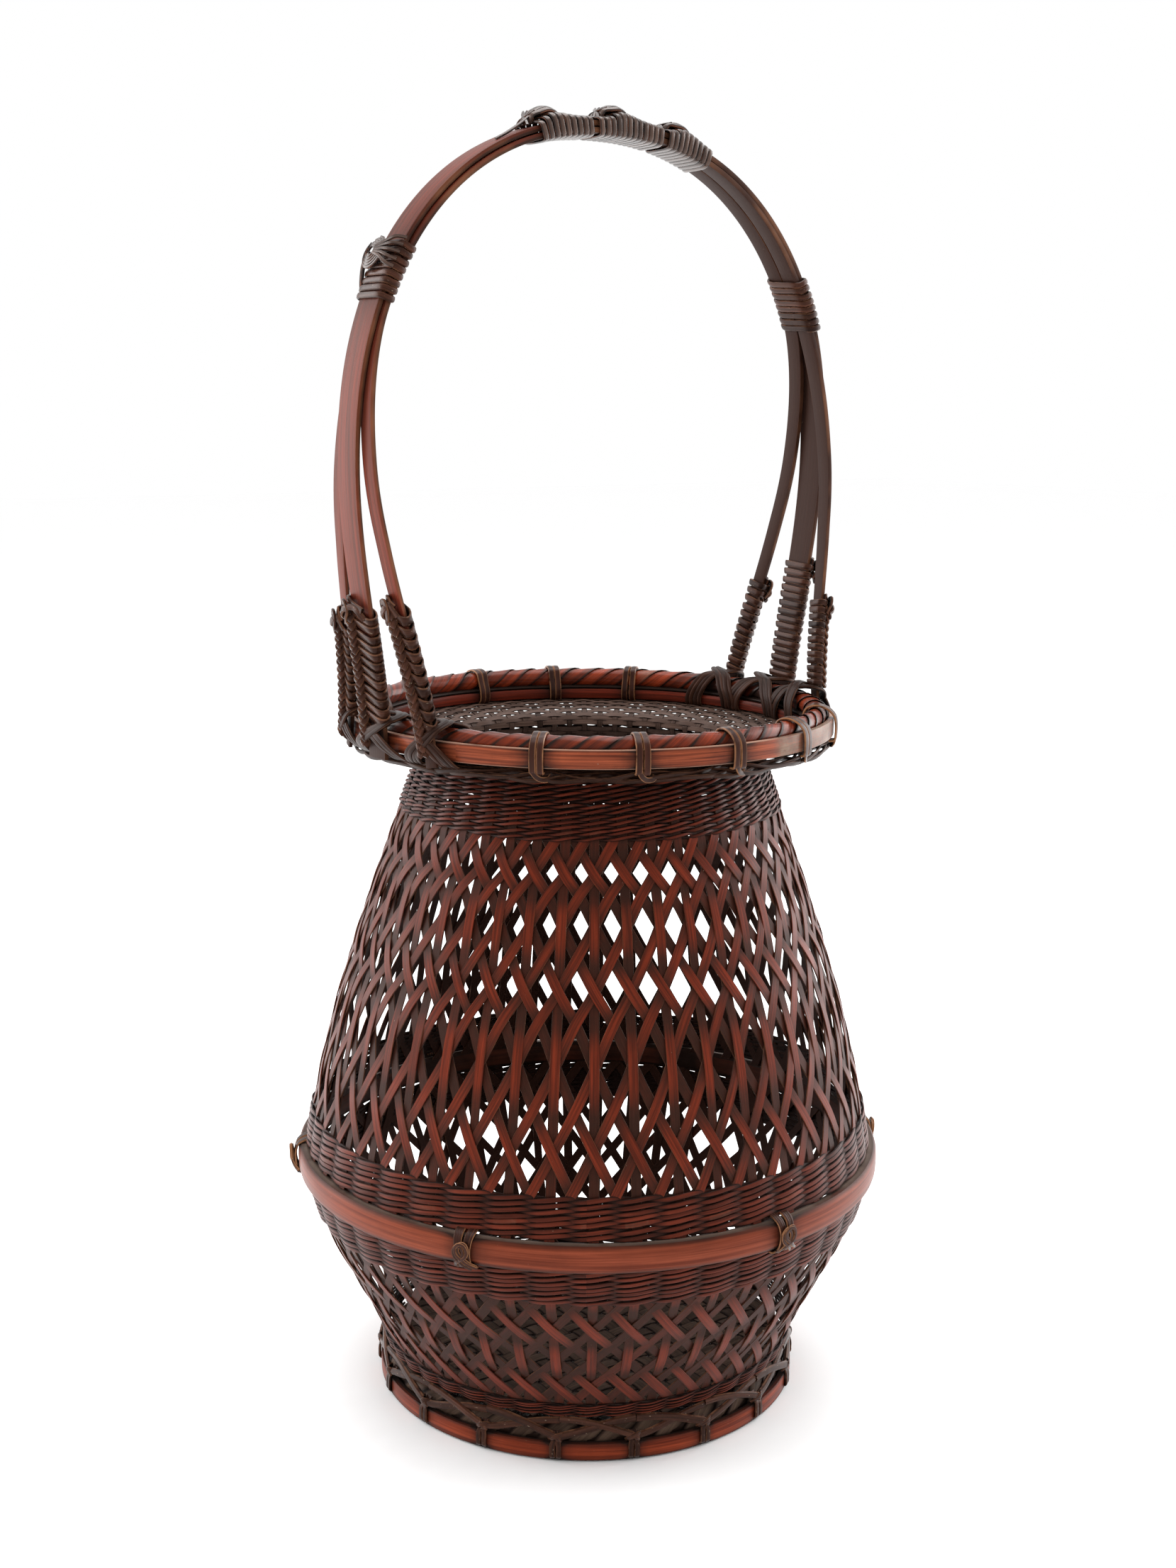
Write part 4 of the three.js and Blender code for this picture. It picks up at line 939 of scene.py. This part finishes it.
# Three strands plaited along a line of a strip's frames, beside a line aside(t)
def plait(frames, ends, aside, out, pitch, size):
    t = np.linspace(*ends, int(abs(ends[1] - ends[0]) * 3))
    point, along, across, outward = frames(t)
    for k in range(3):
        swing = 2 * np.pi * ((t - ends[0]) / pitch + k / 3)
        u = aside(t) + size[0] * 0.56 * np.sin(swing)
        v = out + size[1] * 0.55 * np.sin(2 * swing)
        points = point + across * u[:, None] + outward * v[:, None]
        yield path(points, outward + across * (0.7 * np.sin(swing))[:, None], rng.uniform(0.1, 0.4))


# The feet: each leg is lashed with a strand, edged with a plait and crossed down over the rim
lashing = Sizes(
    left=Sizes(top=(290.8, 288.8, 283.5), bottom=252.8, turns=(10, 12, 10), size=(3.3, 1.05), tone=0.3,
               slant=1.5, tilt=-0.45, chainBottom=242.5, out=2.9, inset=(1.2, 1.4, 1.2)),
    right=Sizes(top=(281.7, 294.0, 285.6), bottom=250.4, turns=(12, 15, 12), size=(2.35, 0.95), tone=0.5,
                slant=0.2, tilt=-0.15, chainBottom=251.5, out=2.4, inset=(0.9, 3.0, 1.7)),
    wobble=0.2, chainPitch=8.0, chainSize=(2.2, 1.15),
    # the knot's loops: places below the lashing's top, as shares of an outer and an inner line, and out
    loops=(
        [(-4.0, 1, 0, 1.6), (-1.2, 1.12, 0, 2.8), (1.4, 1, 0, 3.4), (1.6, 0, 1, 3.9), (-0.6, 0, 0.7, 4.1),
         (-3.0, 0, 1, 4.2), (-5.0, 1, 0, 3.2)],
        [(-3.6, 0, -1, 2.2), (-1.0, 0, -0.6, 3.2), (0.4, 0, 0, 3.5), (-0.2, 0, 1, 4.4), (-2.2, 1, 0, 4.2),
         (-3.8, 1.05, 0, 2.6)],
        [(2.0, 1, 0, 0.4), (2.6, 0, 1, 2.3), (1.0, 0, 0, 2.9), (-0.6, 0, -1, 2.6)],
    ),
    outerLine=0.9, innerLine=-1.4,
)


def legKnot(frames, top, half, side):
    a, b = [-side * (half + lashing[label]) for label in ("outerLine", "innerLine")]
    for loop in lashing.loops:
        places = [(top + t, a * p + b * q, out) for t, p, q, out in loop]
        yield onStrip(frames, places, rng.uniform(0.0, 0.3))


def lashLeg(sideName, stripName):
    side, strip, limb = sides[sideName], legs[stripName], lashing[sideName]
    top, turns, inset = [limb[label][strip + 1] for label in ("top", "turns", "inset")]
    frames, half = partial(legFrames, strip=strip, side=side), partial(halfWidth, strip=strip)
    name = sideName.capitalize() + stripName.capitalize()
    wound = windTurns(frames, (limb.bottom, top), turns, (half, handle.thickness / 2), limb.size,
                      limb.tone, lashing.wobble, limb.slant, limb.tilt, hidden=side)
    make("lashing" + name, "rattan", [f"leg_lashing_{sideName}_{stripName}"], [wound], limb.size,
         "boundRattan", 0.75, 10)
    chain = plait(frames, (limb.chainBottom, top - 1.5), lambda z: -side * (half(z) - inset), limb.out,
                  lashing.chainPitch, lashing.chainSize)
    chain = [*chain, *legKnot(frames, top, half(top), side)]
    make("chain" + name, "rattan", [f"leg_chain_{sideName}_{stripName}"], chain, lashing.chainSize,
         "boundRattan", 0.7)


for sideName in sides:
    for stripName in legs:
        lashLeg(sideName, stripName)

cross = Sizes(size=(1.9, 1.3), strands=4, spacing=1.72, height=247.0, beside=0.8, proud=1.9, reach=4.0)


# Two bundles cross on the leg's foot, pass beside it over the roll and cross again inside the rim
def footCrossPaths(strip, side):
    at = legPoint(np.array(cross.height), strip, side)
    azimuth = math.degrees(math.atan2(at[1], at[0]))
    h = halfWidth(cross.height, strip) + cross.beside
    face = math.hypot(at[0], at[1]) + cross.proud
    reach = h + cross.reach
    for sign in (-1, 1):
        for k in range(cross.strands):
            shift = (k - (cross.strands - 1) / 2) * cross.spacing
            lift = 0.45 * (sign > 0) + 0.2 * (k % 2) + rng.normal(0, 0.08)
            places = [
                (-reach + shift, 82.6, 238.6),
                (-reach + shift, 86.4, 239.8),
                (-reach * 0.72 + shift * 0.9, face + lift, 243.2),
                (-0.1 * h + shift * 0.8, face + 0.5 + lift, 247.2),
                (h + 0.4 + shift * 0.4, face - 1.0 + lift, 250.8),
                (h + 1.2 + shift * 0.5, 83.6, 252.2 + lift),
                (0.45 * h + shift * 0.8, 80.0, 252.2 + lift),
                (-0.45 * reach + shift, 76.4, 250.9 + lift),
                (-0.85 * reach + shift, 74.4 - lift, 247.3),
                (-reach - 1.0 + shift, 73.9 - lift, 243.0),
                (-reach - 1.2 + shift, 73.9, 240.2),
                (-reach - 1.2 + shift, 75.4, 238.8),
            ]
            places = [(sign * s, r, z) for s, r, z in places]
            yield aroundRing(azimuth, places, rng.uniform(0.3, 0.75), rng.uniform(0.92, 1.1))


for sideName, side in sides.items():
    for stripName, strip in legs.items():
        name = "footCross" + sideName.capitalize() + stripName.capitalize()
        make(name, "rattan", [f"foot_cross_{sideName}_{stripName}"], footCrossPaths(strip, side), cross.size,
             "crossRattan", 0.95)
print("feet lashed")


# Bindings round the three strips together, at the crown (ends and turns) and at the shoulders
binding = Sizes(
    crown={"left": (-29.6, -8.4, 9), "middle": (-6.2, 20.8, 12), "right": (23.0, 41.4, 9)},
    shoulder={"left": (385.9, 403.9), "right": (381.0, 399.0)}, shoulderTurns=8, bundle=(7.0, 2.15),
    size=(2.15, 1.1), knots=(-25.0, 2.6, 28.8), hump=2.2, humpBefore=3.6, humpAfter=7.5,
    knotSize=(1.3, 0.9),
)


# The turns rise over a hump at each knot of the crown
def crownLift(x):
    lift = 0 * x
    for knot in binding.knots:
        width = np.where(x < knot, binding.humpBefore, binding.humpAfter)
        lift = lift + binding.hump * np.exp(-((x - knot) / width) ** 2)
    return lift


for group, (start, end, turns) in binding.crown.items():
    frames = middleOf(crownFrames)
    wound = windTurns(frames, (start, end), turns, binding.bundle, binding.size, lift=crownLift)
    make("crownBinding" + group.capitalize(), "rattan", ["crown_binding_" + group], [wound], binding.size,
         "crownRattan", 1.0)


# A knot on the crown: smooth loops side by side over the hump, with fine twisted strands before it
def crownKnot(x):
    for k in range(5):
        aside = -3.4 + 1.6 * k
        top = 6.1 - 0.22 * (k - 2) ** 2
        places = [(x - 5.6, aside * 0.6, 2.4), (x - 4.6, aside * 0.8, 4.4), (x - 2.2, aside, top - 0.3),
                  (x + 0.6, aside, top), (x + 3.2, aside * 0.9, top - 0.9), (x + 5.2, aside * 0.7, top - 2.6)]
        yield onStrip(crownFrames, places, rng.uniform(0, 0.4), 1.5)
    for k in range(4):
        start = -4.5 + 2.2 * k
        places = [(x - 8.4, start, 2.0), (x - 6.8, start * 0.5 + 0.6, 3.6), (x - 5.0, -start * 0.5, 4.8),
                  (x - 3.2, -start, 5.8)]
        yield onStrip(crownFrames, places, rng.uniform(0, 0.4), 0.8)


# The cord: a rising end at the left and three strands that run along the crown under the knots
cord = Sizes(
    rise=[(-44, -2.0, 1.4), (-40, -2.6, 1.8), (-35, -2.4, 2.8), (-31, -1.6, 4.0), (-28, -0.8, 5.4)],
    strands=((-3.4, 2.0), (-0.6, 2.2), (2.2, 2.0)), run=range(-28, 40, 4),
)


def crownCordPaths():
    for x in binding.knots:
        yield from crownKnot(x)
    yield onStrip(crownFrames, cord.rise, 0.2, 0.9)
    for aside, lift in cord.strands:
        places = [(x, aside + 0.5 * math.sin(x / 5), lift + 0.1 * math.sin(x)) for x in cord.run]
        yield onStrip(crownFrames, places, 0.5, 0.8)


make("crownKnots", "rattan", ["crown_cord"], crownCordPaths(), binding.knotSize, "crownRattan", 0.75)


# A spiral knot of fine strands on the outer face of the left shoulder, with a tail
def shoulderKnot(frames, top):
    for k in range(5):
        radius = 1.5 + 0.75 * k
        places = [(top - 6.0 + radius * math.sin(a), 3.2 + 1.1 * radius * math.cos(a), 5.2 - 0.3 * radius)
                  for a in np.linspace(0.4 * k, 0.4 * k + 5.4, 14)]
        yield onStrip(frames, places, rng.uniform(0, 0.4), 0.9, 3)
    for k in range(5):
        places = [(top - 0.6 - 2.2 * k, -7.9, 1.0), (top - 1.4 - 1.9 * k, -5.6, 3.4),
                  (top - 3.0 - 1.1 * k, -2.0, 4.2), (top - 4.6 - 0.5 * k, 1.6, 4.8)]
        yield onStrip(frames, places, rng.uniform(0, 0.4), 0.95)
    tail = [(top - 6.0, 4.6, 4.2), (top - 9.5, 6.4, 3.6), (top - 13.5, 7.6, 1.6), (top - 17.0, 7.2, 0.2)]
    yield onStrip(frames, tail, 0.2, 1.5)


for sideName, side in sides.items():
    frames, ends = partial(legFrames, strip=0, side=side), binding.shoulder[sideName]
    wound = windTurns(middleOf(frames), ends, binding.shoulderTurns, binding.bundle, binding.size)
    name = "shoulderBinding" + sideName.capitalize()
    piece = sweep(name, [wound], binding.size, "boundRattan", 0.95)
    if sideName == "left":
        knot = sweep("shoulderKnot", shoulderKnot(frames, ends[1]), binding.knotSize, "crownRattan", 0.8)
        piece = joinPieces([piece, knot])
    dress(piece, "rattan", "shoulder_binding_" + sideName)
print("bindings wound")


# Floor and light: each light has a place, a size and a power
studio = Sizes(
    floor=12.0, floorColour="#ffffff", floorRoughness=0.7, below=-0.0005, world=1.0, aim=(0, 0, 0.2),
    lights={"softTop": ((0.1, 0.2, 1.6), 1.2, 14), "softLeft": ((-0.95, 1.0, 0.6), 1.2, 17),
            "softRight": ((1.3, -0.3, 0.6), 1.2, 17)},
)


def makeStudio():
    bpy.ops.mesh.primitive_plane_add(size=studio.floor, location=(0, 0, studio.below))
    floor = bpy.context.object
    floor.name = "floor"
    material = bpy.data.materials.new("paleFloor")
    material.use_nodes = True
    shader = material.node_tree.nodes["Principled BSDF"]
    shader.inputs["Base Color"].default_value = paint(studio.floorColour)
    shader.inputs["Roughness"].default_value = studio.floorRoughness
    floor.data.materials.append(material)
    world = bpy.data.worlds.new("studio")
    world.use_nodes = True
    background = world.node_tree.nodes["Background"]
    background.inputs["Color"].default_value = (1, 1, 1, 1)
    background.inputs["Strength"].default_value = studio.world
    bpy.context.scene.world = world
    for name, (place, size, power) in studio.lights.items():
        data = bpy.data.lights.new(name, "AREA")
        data.size = size
        data.energy = power
        lamp = newObject(name, data)
        lamp.location = place
        lamp.rotation_euler = (Vector(studio.aim) - Vector(place)).to_track_quat("-Z", "Y").to_euler()
    bpy.context.scene.view_settings.view_transform = "Standard"


makeStudio()
print("studio set")
